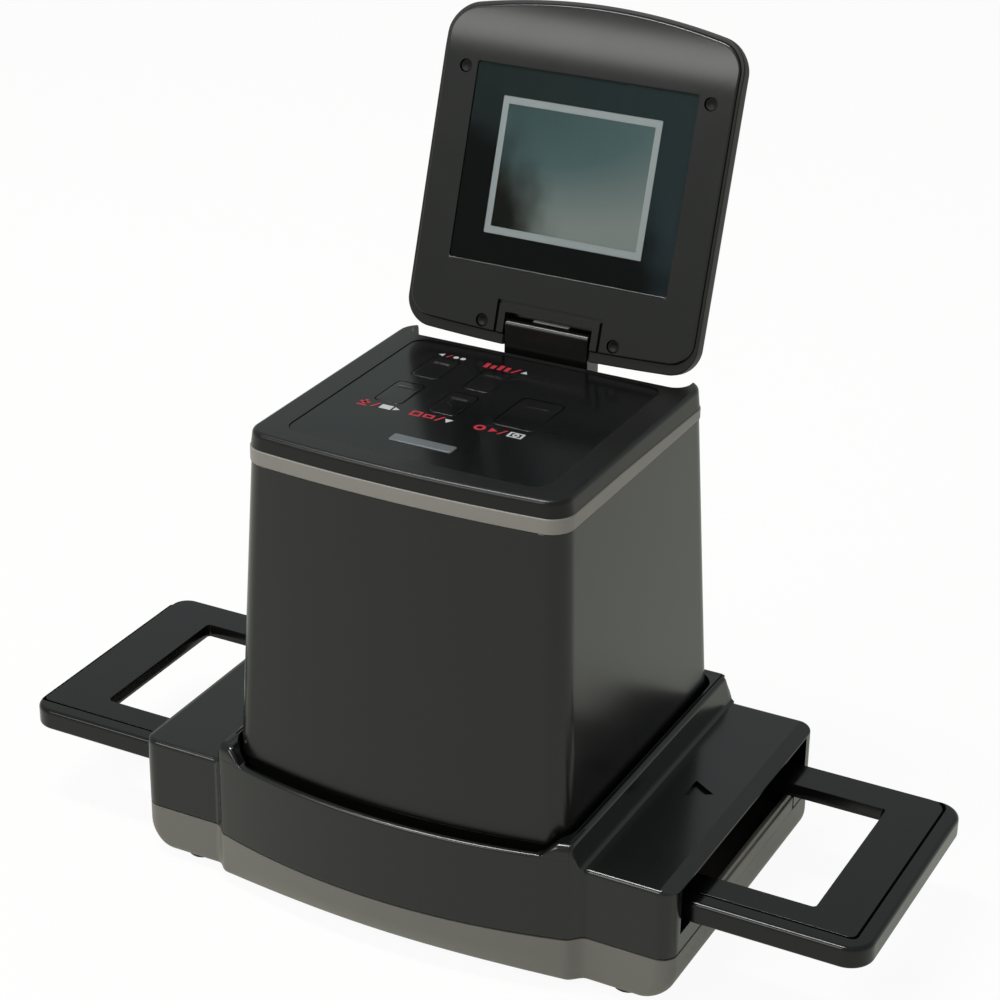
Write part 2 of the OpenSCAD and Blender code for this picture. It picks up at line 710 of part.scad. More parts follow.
module top_bezel() color(black_satin) {
    skirt = housing_wall + fit;
    difference() {
        union() {
            taper(tower_outline(band_z), bezel_z, tower_outline(band_z, 0.3), top_z - 1);
            taper(tower_outline(band_z, 0.3), top_z - 1, tower_outline(band_z, 1), top_z);
            plate(tower_outline(band_z, skirt), bezel_z - 3.5, bezel_z + eps);
        }
        recess(bezel_z, top_z + 1);
        panel_cut(fit/2, panel_under, top_z + 1);
        panel_cut(-2.5, bezel_z - 5, top_z);
        // room behind the panel's back wall, under the recess's floor
        plate(tower_outline(band_z, skirt + 2), bezel_z - 5, bezel_z - 1.6);
        for (p = hinge_screw_spots) {
            post(p, screw_r + fit, bezel_z - 5, bezel_z + 1);
            post(p, head_r + fit, bezel_z - 5, bezel_z - 1.6);
        }
        ribbon_shaft(bezel_z - 5, bezel_z + 1);
    }
    for (p = panel_posts) difference() {
        union() {
            post(p, boss_r, board_z + board_t, panel_under);
            box([p.x > 0 ? p.x : -panel_w/2 + 0.5, p.y - 1, panel_under - 1.2],
                [p.x > 0 ? panel_w/2 - 0.5 : p.x, p.y + 1, panel_under]);
        }
        post(p, screw_r - thread, board_z, panel_under - 1);
    }
}

hinge_screw_spots = [for (x = [-1, 1]) [x*block_w/3.2, hinge_back - 2.6]];

module key_hole(at, w, l) translate([at.x, at.y, panel_under - 1])
    rounded_plate(w + 2*key_gap, l + 2*key_gap, 1.6, 0, panel_t + 3);

module control_panel() color(black_satin) difference() {
    panel_cut(-fit/2, panel_under, panel_z);
    for (k = keys) key_hole(k, key_w, key_l);
    key_hole(ok_at, ok_w, ok_l);
    translate([window_at.x, window_at.y, 0])
        rounded_plate(window_l + 0.2, window_w + 0.2, 0.8, panel_under - 1, top_z + 1);
}

module indicator_window() color("#c9ccd0") translate([window_at.x, window_at.y, 0]) {
    rounded_plate(window_l, window_w, 0.7, panel_under, panel_z + 0.3);
    rounded_plate(window_l + 2, window_w + 2, 1, panel_under - 0.8, panel_under);
}

// A button: its cap, its flange under the panel and the stem over its dome
module button(at, w, l) color(black_gloss) translate([at.x, at.y, 0]) {
    rounded_plate(w, l, 1.4, key_flange_z, panel_z + key_proud - 0.3);
    rounded_plate(w - 0.6, l - 0.6, 1.2, panel_z + key_proud - 0.4, panel_z + key_proud);
    rounded_plate(w + 2*key_flange_out, l + 2*key_flange_out, 1.6, key_flange_z, key_flange_z + key_flange_t);
}

module button_back_left() button(keys[0], key_w, key_l);
module button_back_right() button(keys[1], key_w, key_l);
module button_front_left() button(keys[2], key_w, key_l);
module button_front_right() button(keys[3], key_w, key_l);
module button_ok() button(ok_at, ok_w, ok_l);

module keypad_mat() color("#3a3c3f") {
    translate([0, mat_y, 0]) rounded_plate(mat_w, mat_l, 2, mat_z, mat_z + mat_t);
    for (k = concat(keys, [ok_at]))
        translate([k.x, k.y, mat_z + mat_t - eps]) cylinder(r1 = 3, r2 = 2, h = mat_dome_h, $fn = 32);
}

module button_board() color(circuit_green) difference() {
    translate([0, 1, 0]) rounded_plate(board_w, board_l, 2, board_z, board_z + board_t);
    for (p = panel_posts) post(p, screw_r + 0.2, board_z - 1, board_z + board_t + 1);
}

module panel_screws() color(steel)
    for (p = panel_posts) screw(p, board_z, panel_screw_l);

// ---- hinge ----

module hinge_block() color(black_satin) difference() {
    translate([-block_w/2, hinge_back, hinge_z]) rotate([90, 0, 90]) linear_extrude(block_w) {
        circle(r = barrel_r, $fn = 64);
        translate([-barrel_r, -(hinge_z - bezel_z)]) square([2*barrel_r, hinge_z - bezel_z]);
    }
    // way for the ribbon, down through the middle of the block and out at its back
    ribbon_shaft(bezel_z - 1, hinge_z + 2);
    box([-ribbon_w/2 - fit, ribbon_y - ribbon_room, hinge_z + 0.4],
        [ribbon_w/2 + fit, hinge_back + barrel_r + 1, hinge_z + 2]);
    hinge_line(pin_r + running_fit, block_w/2 - hinge_pin_in, block_w);
    for (p = hinge_screw_spots) post(p, screw_r - thread, bezel_z - 1, hinge_z - pin_r - 1.6);
}

module hinge_screws() color(steel)
    for (p = hinge_screw_spots) screw(p, bezel_z - 1.6, 6);

// A round of radius r on the hinge's line, at each side, from x0 to x1
module hinge_line(r, x0, x1) for (m = [0, 1]) mirror([m, 0, 0])
    translate([x0, hinge_back, hinge_z]) rotate([0, 90, 0]) cylinder(r = r, h = x1 - x0, $fn = 48);

module hinge_pins() color(steel) hinge_line(pin_r, block_w/2 - hinge_pin_in + 0.1, notch_half + lug_t);

module ribbon_shaft(z0, z1)
    box([-ribbon_w/2 - fit, ribbon_y - ribbon_room, z0], [ribbon_w/2 + fit, ribbon_y + ribbon_room, z1]);

// The ribbon's lower length, which stays with the block
module tower_ribbon() color("#6f7478") {
    bend_z = hinge_z + 1.3;
    box([-ribbon_w/2, ribbon_y, board_z + board_t + 0.2], [ribbon_w/2, ribbon_y + ribbon_t, bend_z]);
    box([-ribbon_w/2, ribbon_y, bend_z - ribbon_t], [ribbon_w/2, hinge_back + barrel_r - 0.7, bend_z]);
}

// ---- lid, in its own frame ----

// The lid's surface at depth d behind its face, as points up the lid, flat and then curved back
function lid_curve(d) = concat([[-20, face_n - d]],
    [for (a = [0:3:30]) [visor_start + (visor_r - d)*sin(a), face_n - visor_r + (visor_r - d)*cos(a)]]);

function reversed(p) = [for (i = [len(p) - 1:-1:0]) p[i]];

// Everything between depths d0 and d1 behind the lid's face
module lid_layer(d0, d1) translate([-lid_w, 0, 0]) rotate([90, 0, 90]) linear_extrude(2*lid_w)
    polygon(concat(lid_curve(d0), reversed(lid_curve(d1))));

// The lid's outline, drawn in by inset, and by low more along its lower edge
function lid_outline(inset, low = 0) = bowed(lid_w/2 - inset, lid_drop - inset - low, lid_top - inset,
    lid_r - inset, lid_r - inset, lid_low_bow, lid_bow);

// The lid's body behind depth d of its face: flat at depth back, with rounded back edges
module lid_body(inset, d, back) intersection() {
    r = lid_edge_r - inset;
    hull() for (a = [0:18:90])
        plate(lid_outline(inset + r*(1 - cos(a))), face_n - back + r*(1 - sin(a)), face_n + 2);
    lid_layer(d, 3*lid_t);
}

module notch() box([-notch_half, -20, -20], [notch_half, notch_top, 20]);

module lid_bezel() color(black_satin) on_lid() difference() {
    union() {
        difference() {
            intersection() {
                plate(lid_outline(lid_rim + bezel_gap, bezel_up), -20, 20);
                lid_layer(0, bezel_t);
                lid_body(lid_rim + bezel_gap, -1, lid_t - lid_wall - bezel_gap);
            }
            notch();
            translate([0, glass_mid, 0]) {
                rounded_plate(glass_w + fit, glass_h + fit, 1, glass_under, face_n + 1);
                rounded_plate(glass_w - 5, glass_h - 5, 1, -10, 20);
            }
            for (p = lid_screw_spots) {
                post(p, plug_r + 0.15, face_n - lid_screw_depth, face_n + 1);
                post(p, screw_r + 0.1, -10, face_n);
            }
            notch_groove();
        }
        for (x = [-1, 1]) translate([x*(notch_half + lug_t/2), 0, 0]) {
            rotate([0, 90, 0]) cylinder(r = lug_r, h = lug_t, center = true, $fn = 48);
            box([-lug_t/2, -lug_r + 1, 0], [lug_t/2, lug_r, face_n - bezel_t + eps]);
        }
    }
    for (m = [0, 1]) mirror([m, 0, 0]) translate([notch_half - 1, 0, 0])
        rotate([0, 90, 0]) cylinder(r = pin_r + running_fit, h = lug_t + 1.2, $fn = 48);
}

// Line round the notch, from inner to outer away from it
module notch_groove() {
    inner = 2.4;
    outer = 2.8;
    difference() {
        box([-notch_half - outer, -20, face_n - 0.4], [notch_half + outer, notch_top + outer, 20]);
        box([-notch_half - inner, -21, -20], [notch_half + inner, notch_top + inner, 21]);
    }
}

module lid_back_shell() color(black_satin) on_lid() difference() {
    union() {
        difference() {
            lid_body(0, rim_set_back, lid_t);
            intersection() {
                lid_body(lid_rim, -1, lid_t - lid_wall);
                union() {
                    plate(lid_outline(lid_rim, bezel_up), -20, 20);
                    plate(lid_outline(lid_rim), -20, face_n - bezel_t + fit);
                }
            }
        }
        intersection() {
            union() {
                for (p = lid_screw_spots) post(p, boss_r - 0.5, -20, face_n - bezel_t);
                box([-notch_half - 1, -20, -20], [notch_half + 1, notch_top + 1, face_n - bezel_t]);
            }
            lid_body(lid_rim - 0.2, bezel_t, lid_t - 0.3);
        }
    }
    notch();
    for (m = [0, 1]) mirror([m, 0, 0]) translate([notch_half - 0.1, 0, 0]) {
        rotate([0, 90, 0]) cylinder(r = lug_r + 0.2, h = lug_t + fit, $fn = 48);
        box([0, -lug_r - 0.2, 0], [lug_t + fit, lug_r + 0.2, face_n]);
    }
    box([-ribbon_w/2 - fit, 0, -ribbon_n - 1], [ribbon_w/2 + fit, notch_top + 3, -ribbon_n + 0.5]);
    for (p = lid_screw_spots) post(p, screw_r - thread, face_n - lid_t + 2.2, 20);
}

module screen_glass() color("#0c1013") on_lid() translate([0, glass_mid, 0])
    rounded_plate(glass_w, glass_h, 0.8, glass_under + 0.02, glass_under + glass_t);

module display_module() color("#b9c2bf") on_lid()
    translate([0, glass_low + display_low + display_h/2, glass_under - display_t])
        rounded_plate(display_w + 2*display_rim, display_h + 2*display_rim, 1, 0, display_t);

// The ribbon's upper length, from the notch up to the back of the display
module display_ribbon() color("#6f7478") on_lid()
    box([-ribbon_w/2, barrel_r + 0.35, -ribbon_n - ribbon_t], [ribbon_w/2, glass_low + 9, -ribbon_n]);

module lid_plugs() color("#0e0e0f") on_lid() for (p = lid_screw_spots)
    post(p, plug_r, face_n - plug_t, face_n - 0.15);

module lid_screws() color(steel) on_lid() for (p = lid_screw_spots) {
    post(p, screw_r, face_n - lid_t + 2.6, face_n - plug_t - 0.1);
    post(p, plug_r - 0.15, face_n - lid_screw_depth + 0.05, face_n - plug_t - 0.1);
}

// ---- film tray ----

module tray_outline() translate([tray_shift, 0])
    polygon(rounded(tray_l/2, tray_front, tray_back, tray_r, tray_r));

// The film's window, grown by spread
module film_window(spread, z0, z1) translate([window_x, film_y, 0])
    rounded_plate(film_l + 2*spread, film_w + 2*spread, 1, z0, z1);

module cover_outline(grow) translate([tray_shift, 0]) intersection() {
    polygon([[-cover_left - grow, -cover_front - grow], [cover_right + grow, -cover_front - grow],
             [cover_right + grow, cover_back + grow], [-cover_left - grow, cover_back + grow]]);
    polygon(rounded(cover_left + grow, tray_front + grow, cover_back + grow, tray_r, tray_r));
}

module tray_pins_form(r) for (x = [-1, 1])
    translate([tray_shift + x*tray_knuckle_x, tray_pin_at.x, tray_pin_at.y]) rotate([0, 90, 0])
        cylinder(r = r, h = 3*tray_knuckle_l, center = true, $fn = 32);

module tray_knuckles(grow) for (x = [-1, 1])
    translate([tray_shift + x*tray_knuckle_x, 0, 0])
        box([-tray_knuckle_l/2 - grow, tray_pin_at.x - 1.8 - grow, film_z - 1],
            [tray_knuckle_l/2 + grow, cover_back + 0.4 + grow, tray_z + tray_t - 0.3 + grow*4]);

module tray_frame() color(black_gloss) difference() {
    union() {
        difference() {
            translate([0, 0, tray_z]) linear_extrude(tray_t) tray_outline();
            translate([0, 0, film_z]) linear_extrude(tray_t) cover_outline(fit/2);
        }
        tray_knuckles(0);
    }
    // the film lies on a thin web, and the frame is hollow under it
    film_window(0, tray_z - 1, film_z + 1);
    film_window(web_in, tray_z - 1, film_z - web_t);
    tray_pins_form(tray_pin_r + 0.03);
}

module tray_cover() color(black_gloss) difference() {
    translate([0, 0, film_z + 0.02]) linear_extrude(cover_t - 0.02) cover_outline(-fit/2);
    hull() {
        film_window(-0.5, film_z - 1, film_z);
        film_window(film_bevel, tray_z + tray_t, tray_z + tray_t + 0.1);
    }
    tray_knuckles(0.25);
    tray_pins_form(tray_pin_r + running_fit);
}

module tray_hinge_pins() color(steel) tray_pins_form(tray_pin_r);

// ---- the whole scanner ----

module placed() translate([-middle_x, -middle_y, 0]) children();

placed() lower_shell();
placed() base_cover();
placed() rubber_feet();
placed() base_screws();
placed() tower_screws();
placed() film_gate();
placed() diffuser_panel();
placed() backlight_board();
placed() backlight_lamps();
placed() tower_housing();
placed() trim_band();
placed() light_tunnel();
placed() lens_barrel();
placed() lens();
placed() image_sensor();
placed() sensor_board();
placed() main_board();
placed() usb_socket();
placed() card_slot();
placed() board_screws();
placed() top_bezel();
placed() control_panel();
placed() keypad_mat();
placed() button_board();
placed() panel_screws();
placed() indicator_window();
placed() button_back_left();
placed() button_back_right();
placed() button_front_left();
placed() button_front_right();
placed() button_ok();
placed() hinge_block();
placed() hinge_screws();
placed() hinge_pins();
placed() tower_ribbon();
placed() lid_bezel();
placed() lid_back_shell();
placed() screen_glass();
placed() display_module();
placed() display_ribbon();
placed() lid_plugs();
placed() lid_screws();
placed() tray_frame();
placed() tray_cover();
placed() tray_hinge_pins();
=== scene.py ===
"""Looks of a film negative scanner: a tower with a hinged display lid, on a two-tone base with a film tray.

Shapes are worked out in millimetres from the tower's axis: x along the tray, y to the back, z up from the
table. A shape drawn on the lid has its own u across, v up the lid and n out of the screen, from the hinge.
"""
import json
from math import cos, pi, radians, sin

import bpy
import numpy as np
from mathutils import Matrix, Vector


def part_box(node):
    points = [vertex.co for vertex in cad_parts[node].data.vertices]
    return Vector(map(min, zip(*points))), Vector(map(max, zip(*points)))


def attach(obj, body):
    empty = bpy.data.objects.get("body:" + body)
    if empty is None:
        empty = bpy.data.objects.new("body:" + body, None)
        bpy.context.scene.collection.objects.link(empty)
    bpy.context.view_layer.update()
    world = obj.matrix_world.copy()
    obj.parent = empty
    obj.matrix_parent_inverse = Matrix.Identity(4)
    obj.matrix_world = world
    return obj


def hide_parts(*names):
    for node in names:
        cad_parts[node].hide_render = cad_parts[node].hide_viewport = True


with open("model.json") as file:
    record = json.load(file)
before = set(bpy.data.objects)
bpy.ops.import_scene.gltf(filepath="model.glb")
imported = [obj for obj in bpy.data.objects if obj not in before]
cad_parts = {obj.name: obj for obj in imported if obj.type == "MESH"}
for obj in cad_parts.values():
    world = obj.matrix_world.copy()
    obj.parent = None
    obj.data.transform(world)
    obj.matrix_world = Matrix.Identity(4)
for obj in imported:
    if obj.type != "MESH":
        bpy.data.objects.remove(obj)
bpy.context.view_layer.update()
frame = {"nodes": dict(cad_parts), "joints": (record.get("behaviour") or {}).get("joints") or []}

MM = 0.001


# ---- places taken from the frame, in millimetres ----

def low_high(name):
    """Lowest and highest corner of a node, in millimetres."""
    low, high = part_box(name)
    return np.array(low) / MM, np.array(high) / MM


HINGE_BACK = 46.3
hinge_joint = next(j for j in frame["joints"] if j["name"] == "lid_hinge")
hinge = np.array(hinge_joint["pos_m"]) / MM
axis = np.array([hinge[0], hinge[1] - HINGE_BACK, 0.0])

shell_low = low_high("lower_shell")[0]
cover_low, cover_high = low_high("base_cover")
tray_low, tray_high = low_high("tray_frame")
foot_top = low_high("rubber_feet")[1][2]
panel_z, panel_top = (corner[2] for corner in low_high("control_panel"))
top_z = low_high("top_bezel")[1][2]
film_z = low_high("tray_cover")[0][2]
seam_z = cover_low[2]
deck_z = low_high("tower_housing")[0][2]
collar_z = cover_high[2]
band_z, bezel_z = (corner[2] for corner in low_high("trim_band"))

# Base
WING_HALF = (cover_high[0] - cover_low[0]) / 2
WING_FRONT = 48.0
WING_BACK = 57.0
WING_R = 5.0
CENTRE_HALF = 58.5
CENTRE_EASE = 2.5
CENTRE_STEP = 3.0
CENTRE_BACK = 1.0
CENTRE_BOW = 8.8
FRONT_RISE = 4.3
COLLAR_IN = 54.2
COLLAR_OUT = 57.2
SLOT = (-42.0, 50.0, 23.0, 37.5)   # low and high y, then low and high z
LIP = (-22.0, 42.0)                # low and high y of the shell's lip under the slot
FEET = [(71, -40.5), (-71, -40.5), (71, 48.5), (-71, 48.5)]
SCREW_WELLS = [(-49.5, -46.5), (-49.5, 50.0), (49.5, -46.5), (49.5, 50.0)]
SCREW_WELL_R = 2.6
ARROW = np.array([(0, -4.6), (7.4, 0), (0, 4.6)]) + (WING_HALF - 18.4, 4.8)

# Tower
FOOT = dict(half_w=53.7, front=48.0, back=54.8, bow=7.0)
NECK = dict(half_w=49.4, front=44.6, back=49.0, bow=2.8)
TOWER_R = (6.0, 7.5)   # of its front and its rear corners
FOOT_STEP = 5.2
WALL = 2.2
BAND_TAPER = 1.3

# Panel and its buttons: the middle of each, and its width and length
PANEL = dict(half_w=40.2, front=38.6, back=38.0, r=5.0, bow=0.8)
RECESS = (91.0, 30.0)   # between the ears, where the lid turns
RECESS_AT = (0.0, 55.0)
RECESS_R = 5.0
KEY = (8.6, 15.0)
KEY_R = 1.5
OK_KEY = (13.0, 20.5)
KEYS = {"back_left": (-24.4, 20.0), "back_right": (-6.6, 18.6),
        "front_left": (-24.6, -0.6), "front_right": (-7.3, -0.5), "ok": (14.5, 3.2)}
WINDOW_AT = (-1.9, -28.2)
WINDOW = (19.5, 4.3)
WINDOW_R = 0.7

# Lid
LEAN = radians(17.7)
LID = dict(half_w=47.2, drop=3.2, top=91.2, r=8.0, low_bow=1.5, bow=5.8)
LID_T = 8.2
LID_EDGE = 4.0
LID_RIM = 1.0
LOW_GAP = 2.0     # the bezel stays this much further in along the lid's lower edge
FACE_N = 4.05
VISOR_START = 77.0
VISOR_R = 60.0
GLASS = (70.4, 57.8)
GLASS_LOW = 18.3
DISPLAY = (51.0, 40.4)
DISPLAY_LOW = 8.7
PICTURE = (47.0, 36.0)
DISPLAY_MIDDLE = GLASS_LOW + DISPLAY_LOW + DISPLAY[1] / 2
GLASS_MIDDLE = GLASS_LOW + GLASS[1] / 2
GLASS_N = FACE_N - 0.12
GLASS_T = 1.2
PLUGS = [(-39.1, 74.1), (39.1, 74.1), (-21.4, 1.4), (21.4, 1.4)]
NOTCH = (14.2, 5.25)
BARREL_R = 4.0

# Tray
TRAY_HALF = (tray_high[0] - tray_low[0]) / 2
TRAY_SHIFT = 1.5
TRAY_FRONT = 38.2
TRAY_BACK = 45.0
TRAY_R = 7.5
FILM = (234.2, 56.0)
FILM_AT = (1.1, 4.5)


# ---- outlines and meshes ----

def arc(x, y, r, angles):
    """Points round (x, y) at those angles."""
    return np.stack([x + r * np.cos(angles), y + r * np.sin(angles)], 1)


def disc(x, y, r, sides=24):
    """Outline of a circle."""
    return arc(x, y, r, np.linspace(0, 2 * pi, sides, endpoint=False))


def outline(half_w, front, back, r_front, r_back=None, bow=0.0, back_bow=0.0, corner=14, side=48):
    """Closed outline, anticlockwise from above: a rectangle from y = -front to y = back with quarter rounds
    at its corners, whose front edge bows out by bow * (1 - (x / half_w)^2), and its back edge by back_bow."""
    r_back = r_front if r_back is None else r_back
    turn = np.linspace(0, pi / 2, corner)
    run = np.linspace(0, 1, side + 2)[1:-1]
    x0, y0 = half_w, back

    def line(a, b):
        return np.outer(1 - run, a) + np.outer(run, b)

    points = np.concatenate([
        arc(x0 - r_back, y0 - r_back, r_back, turn),
        line((x0 - r_back, y0), (r_back - x0, y0)),
        arc(r_back - x0, y0 - r_back, r_back, turn + pi / 2),
        line((-x0, y0 - r_back), (-x0, r_front - front)),
        arc(r_front - x0, r_front - front, r_front, turn + pi),
        line((r_front - x0, -front), (x0 - r_front, -front)),
        arc(x0 - r_front, r_front - front, r_front, turn + 3 * pi / 2),
        line((x0, r_front - front), (x0, y0 - r_back))])
    swell = 1 - (points[:, 0] / half_w) ** 2
    points[:, 1] += np.where(points[:, 1] < (back - front) / 2, -bow, back_bow) * swell
    return points


def rectangle(size, grow, r, at=(0, 0), **more):
    """Outline of a rectangle of that size round a point, larger by grow, with corners of radius r."""
    w, l = size[0] / 2 + grow, size[1] / 2 + grow
    return outline(w, l, l, r, **more) + at


def ring(points, z):
    """An outline at height z, which may be one height or one for each point."""
    return np.column_stack([points, np.broadcast_to(z, len(points))])


def quarter(r, steps=5):
    """Insets and drops of a quarter round of radius r, from the side up to the top. No radius, one step."""
    a = np.linspace(0, pi / 2, steps if r else 1)
    return list(zip(r * (1 - np.cos(a)), r * (1 - np.sin(a))))


def prism(outline_at, z0, z1, bottom=0.0, top=0.0, steps=5):
    """Rings of an upright solid whose lower and upper edges are rounded; outline_at(inset) is its outline."""
    rings = [ring(outline_at(inset), z0 + drop) for inset, drop in quarter(bottom, steps)[::-1]]
    return np.array(rings + [ring(outline_at(inset), z1 - drop) for inset, drop in quarter(top, steps)])


def skin(name, rings, material, joined=False):
    """Mesh over a stack of rings, each of as many points. The last ring joins the first, or else both ends
    are closed with a fan round their middle."""
    rings = np.asarray(rings, float)
    count, size = rings.shape[:2]
    points = rings.reshape(-1, 3)
    i, j = np.meshgrid(np.arange(count if joined else count - 1), np.arange(size), indexing="ij")
    a, b = i * size, (i + 1) % count * size
    k = (j + 1) % size
    sides = np.stack([a + j, a + k, b + k, b + j], -1).reshape(-1, 4)
    ends = np.empty((0, 3), int)
    if not joined:
        points = np.vstack([points, rings[0].mean(0), rings[-1].mean(0)])
        start = np.arange(size)
        after = (start + 1) % size
        low = np.full(size, count * size)
        top = (count - 1) * size
        ends = np.vstack([np.stack([after, start, low], 1), np.stack([top + start, top + after, low + 1], 1)])
    if volume(points, np.vstack([sides[:, :3], sides[:, [0, 2, 3]], ends])) < 0:
        sides, ends = sides[:, ::-1], ends[:, ::-1]
    return make(name, points, sides.tolist() + ends.tolist(), material)


def volume(points, triangles):
    """Six times the volume inside a closed mesh: the sum of a . (b x c) over its triangles."""
    a, b, c = (points[triangles[:, i]] for i in range(3))
    return np.einsum("ij,ij->", a, np.cross(b, c))


def put(name, data):
    """New object of that data, in the scene."""
    made = bpy.data.objects.new(name, data)
    bpy.context.scene.collection.objects.link(made)
    return made


def make(name, points, faces, material):
    """Object of a mesh given in millimetres from the tower's axis."""
    mesh = bpy.data.meshes.new(name)
    mesh.from_pydata(((np.asarray(points) + axis) * MM).tolist(), [], faces)
    mesh.update()
    if material:
        mesh.materials.append(material)
    return put(name, mesh)


def carve(piece, tool, operation="DIFFERENCE"):
    """Cuts the tool from the piece, or joins it on, and drops the tool."""
    step = piece.modifiers.new("carve", "BOOLEAN")
    step.operation = operation
    step.object = tool
    step.solver = "MANIFOLD"
    shown = piece.evaluated_get(bpy.context.evaluated_depsgraph_get())
    mesh = bpy.data.meshes.new_from_object(shown)
    piece.modifiers.clear()
    old = piece.data
    mesh.materials.clear()
    for material in old.materials:
        mesh.materials.append(material)
    mesh.polygons.foreach_set("material_index", np.zeros(len(mesh.polygons), np.int32))
    piece.data = mesh
    bpy.data.meshes.remove(old)
    bpy.data.objects.remove(tool)
    mesh.name = piece.name
    return piece


def join(piece, other):
    return carve(piece, other, "UNION")


def cutter(rings):
    """Solid to cut with, or to join on."""
    return skin("cutter", rings, None)


def column(points, z0, z1):
    """Upright prism on an outline, to cut with."""
    return cutter([ring(points, z0), ring(points, z1)])


def block(low, high):
    """Plain box, to cut with."""
    (x0, y0, z0), (x1, y1, z1) = low, high
    return column([(x0, y0), (x1, y0), (x1, y1), (x0, y1)], z0, z1)


def smooth(piece, angle):
    """Smooth shading up to that angle between faces; flat stretches stay flat."""
    mesh = piece.data
    mesh.polygons.foreach_set("use_smooth", np.ones(len(mesh.polygons), bool))
    mesh.set_sharp_from_angle(angle=radians(angle))
    step = piece.modifiers.new("flat faces lead", "WEIGHTED_NORMAL")
    step.keep_sharp = True
    step.weight = 90


def finish(piece, body, slot, *nodes, angle=32):
    """The piece rides on a body and stands for those nodes, which are hidden; its slot is not used."""
    smooth(piece, angle)
    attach(piece, body)
    if nodes:
        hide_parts(*nodes)
    return piece


# ---- materials ----

def feed(made, inputs):
    """Sets inputs of a shader node: each takes a value, or is linked to a socket."""
    for label, value in inputs.items():
        if isinstance(value, bpy.types.NodeSocket):
            made.id_data.links.new(value, made.inputs[label])
        else:
            made.inputs[label].default_value = value
    return made


def node(tree, kind, inputs=None, **settings):
    """New shader node with its settings and inputs."""
    made = tree.nodes.new("ShaderNode" + kind)
    for label, value in settings.items():
        setattr(made, label, value)
    return feed(made, inputs or {})


def reckon(tree, operation, *values):
    """Socket of a sum of numbers or sockets."""
    return node(tree, "Math", dict(enumerate(values)), operation=operation).outputs["Value"]


def blend(tree, factor, a, b):
    """Socket of a colour between a and b."""
    return node(tree, "Mix", {"Factor": factor, "A": a, "B": b}, data_type="RGBA").outputs["Result"]


def ramp(tree, factor, tones):
    """Socket of a colour along a row of tones, each a place from 0 to 1 and a colour."""
    made = node(tree, "ValToRGB", {"Fac": factor})
    elements = made.color_ramp.elements
    while len(elements) < len(tones):
        elements.new(0.5)
    for element, (at, colour) in zip(elements, tones):
        element.position, element.color = at, (*colour, 1)
    return made.outputs["Color"]


def object_place(tree):
    return node(tree, "TexCoord").outputs["Object"]


def node_group(name, inputs, outputs):
    """Empty shader group with named float inputs and outputs."""
    group = bpy.data.node_groups.new(name, "ShaderNodeTree")
    for label, value in inputs.items():
        socket = group.interface.new_socket(label, in_out="INPUT", socket_type="NodeSocketFloat")
        socket.default_value = value
    for label in outputs:
        group.interface.new_socket(label, in_out="OUTPUT", socket_type="NodeSocketFloat")
    return group, group.nodes.new("NodeGroupInput").outputs, group.nodes.new("NodeGroupOutput")


def moulded_texture():
    """Fine grain of a moulded surface, with a slow unevenness: a height for Bump, and a mask from 0 to 1."""
    group, given, out = node_group("moulded texture", {"Grain": 9000.0}, ["Height", "Patches"])
    place = object_place(group)
    grain = node(group, "TexNoise", {"Vector": place, "Scale": given["Grain"], "Detail": 3})
    waves = node(group, "TexNoise", {"Vector": place, "Scale": 60, "Detail": 4, "Roughness": 0.6})
    feed(out, {"Height": grain.outputs["Fac"], "Patches": waves.outputs["Fac"]})
    return group


def light_dust():
    """Specks of dust, thicker on faces that look up: a mask from 0 to 1."""
    group, given, out = node_group("light dust", {"Amount": 0.35}, ["Dust"])
    specks = node(group, "TexVoronoi", {"Vector": object_place(group), "Scale": 1400})
    small = node(group, "MapRange", {"Value": specks.outputs["Distance"], "From Min": 0.16, "From Max": 0.05})
    facing = node(group, "SeparateXYZ", {"Vector": node(group, "NewGeometry").outputs["Normal"]})
    up = node(group, "MapRange", {"Value": facing.outputs["Z"], "From Min": 0.2})
    where = reckon(group, "MULTIPLY", small.outputs["Result"], up.outputs["Result"])
    feed(out, {"Dust": reckon(group, "MULTIPLY", where, given["Amount"])})
    return group


TEXTURE = moulded_texture()
DUST = light_dust()
DUST_COLOUR = (0.3, 0.3, 0.29, 1)
WHITE = (1, 1, 1, 1)


def new_material(name, inputs=None):
    material = bpy.data.materials.new(name)
    material.use_nodes = True
    tree = material.node_tree
    return material, tree, feed(tree.nodes["Principled BSDF"], inputs or {})


def plastic(name, dark, light, roughness, level=0.5, spread=0.06, depth=0.02, dust=0.0, grain=9000.0,
            coat=0.0):
    """Moulded plastic between two colours in slow patches, with a fine grain and some dust."""
    material, tree, surface = new_material(name)
    texture = node(tree, "Group", {"Grain": grain}, node_tree=TEXTURE).outputs
    colour = blend(tree, texture["Patches"], (*dark, 1), (*light, 1))
    if dust:
        specks = node(tree, "Group", {"Amount": dust}, node_tree=DUST)
        colour = blend(tree, specks.outputs["Dust"], colour, DUST_COLOUR)
    low, high = roughness - spread, roughness + spread
    rough = node(tree, "MapRange", {"Value": texture["Patches"], "To Min": low, "To Max": high})
    bump = node(tree, "Bump", {"Height": texture["Height"], "Distance": 0.0002, "Strength": depth})
    feed(surface, {
        "Base Color": colour, "Roughness": rough.outputs["Result"], "Normal": bump.outputs["Normal"],
        "Coat Weight": coat, "Specular IOR Level": level})
    return material


def metal(name, colour, roughness):
    """Plated steel with a faint unevenness."""
    material = plastic(name, colour, tuple(c * 0.85 for c in colour), roughness, grain=4000.0)
    feed(material.node_tree.nodes["Principled BSDF"], {"Metallic": 1})
    return material


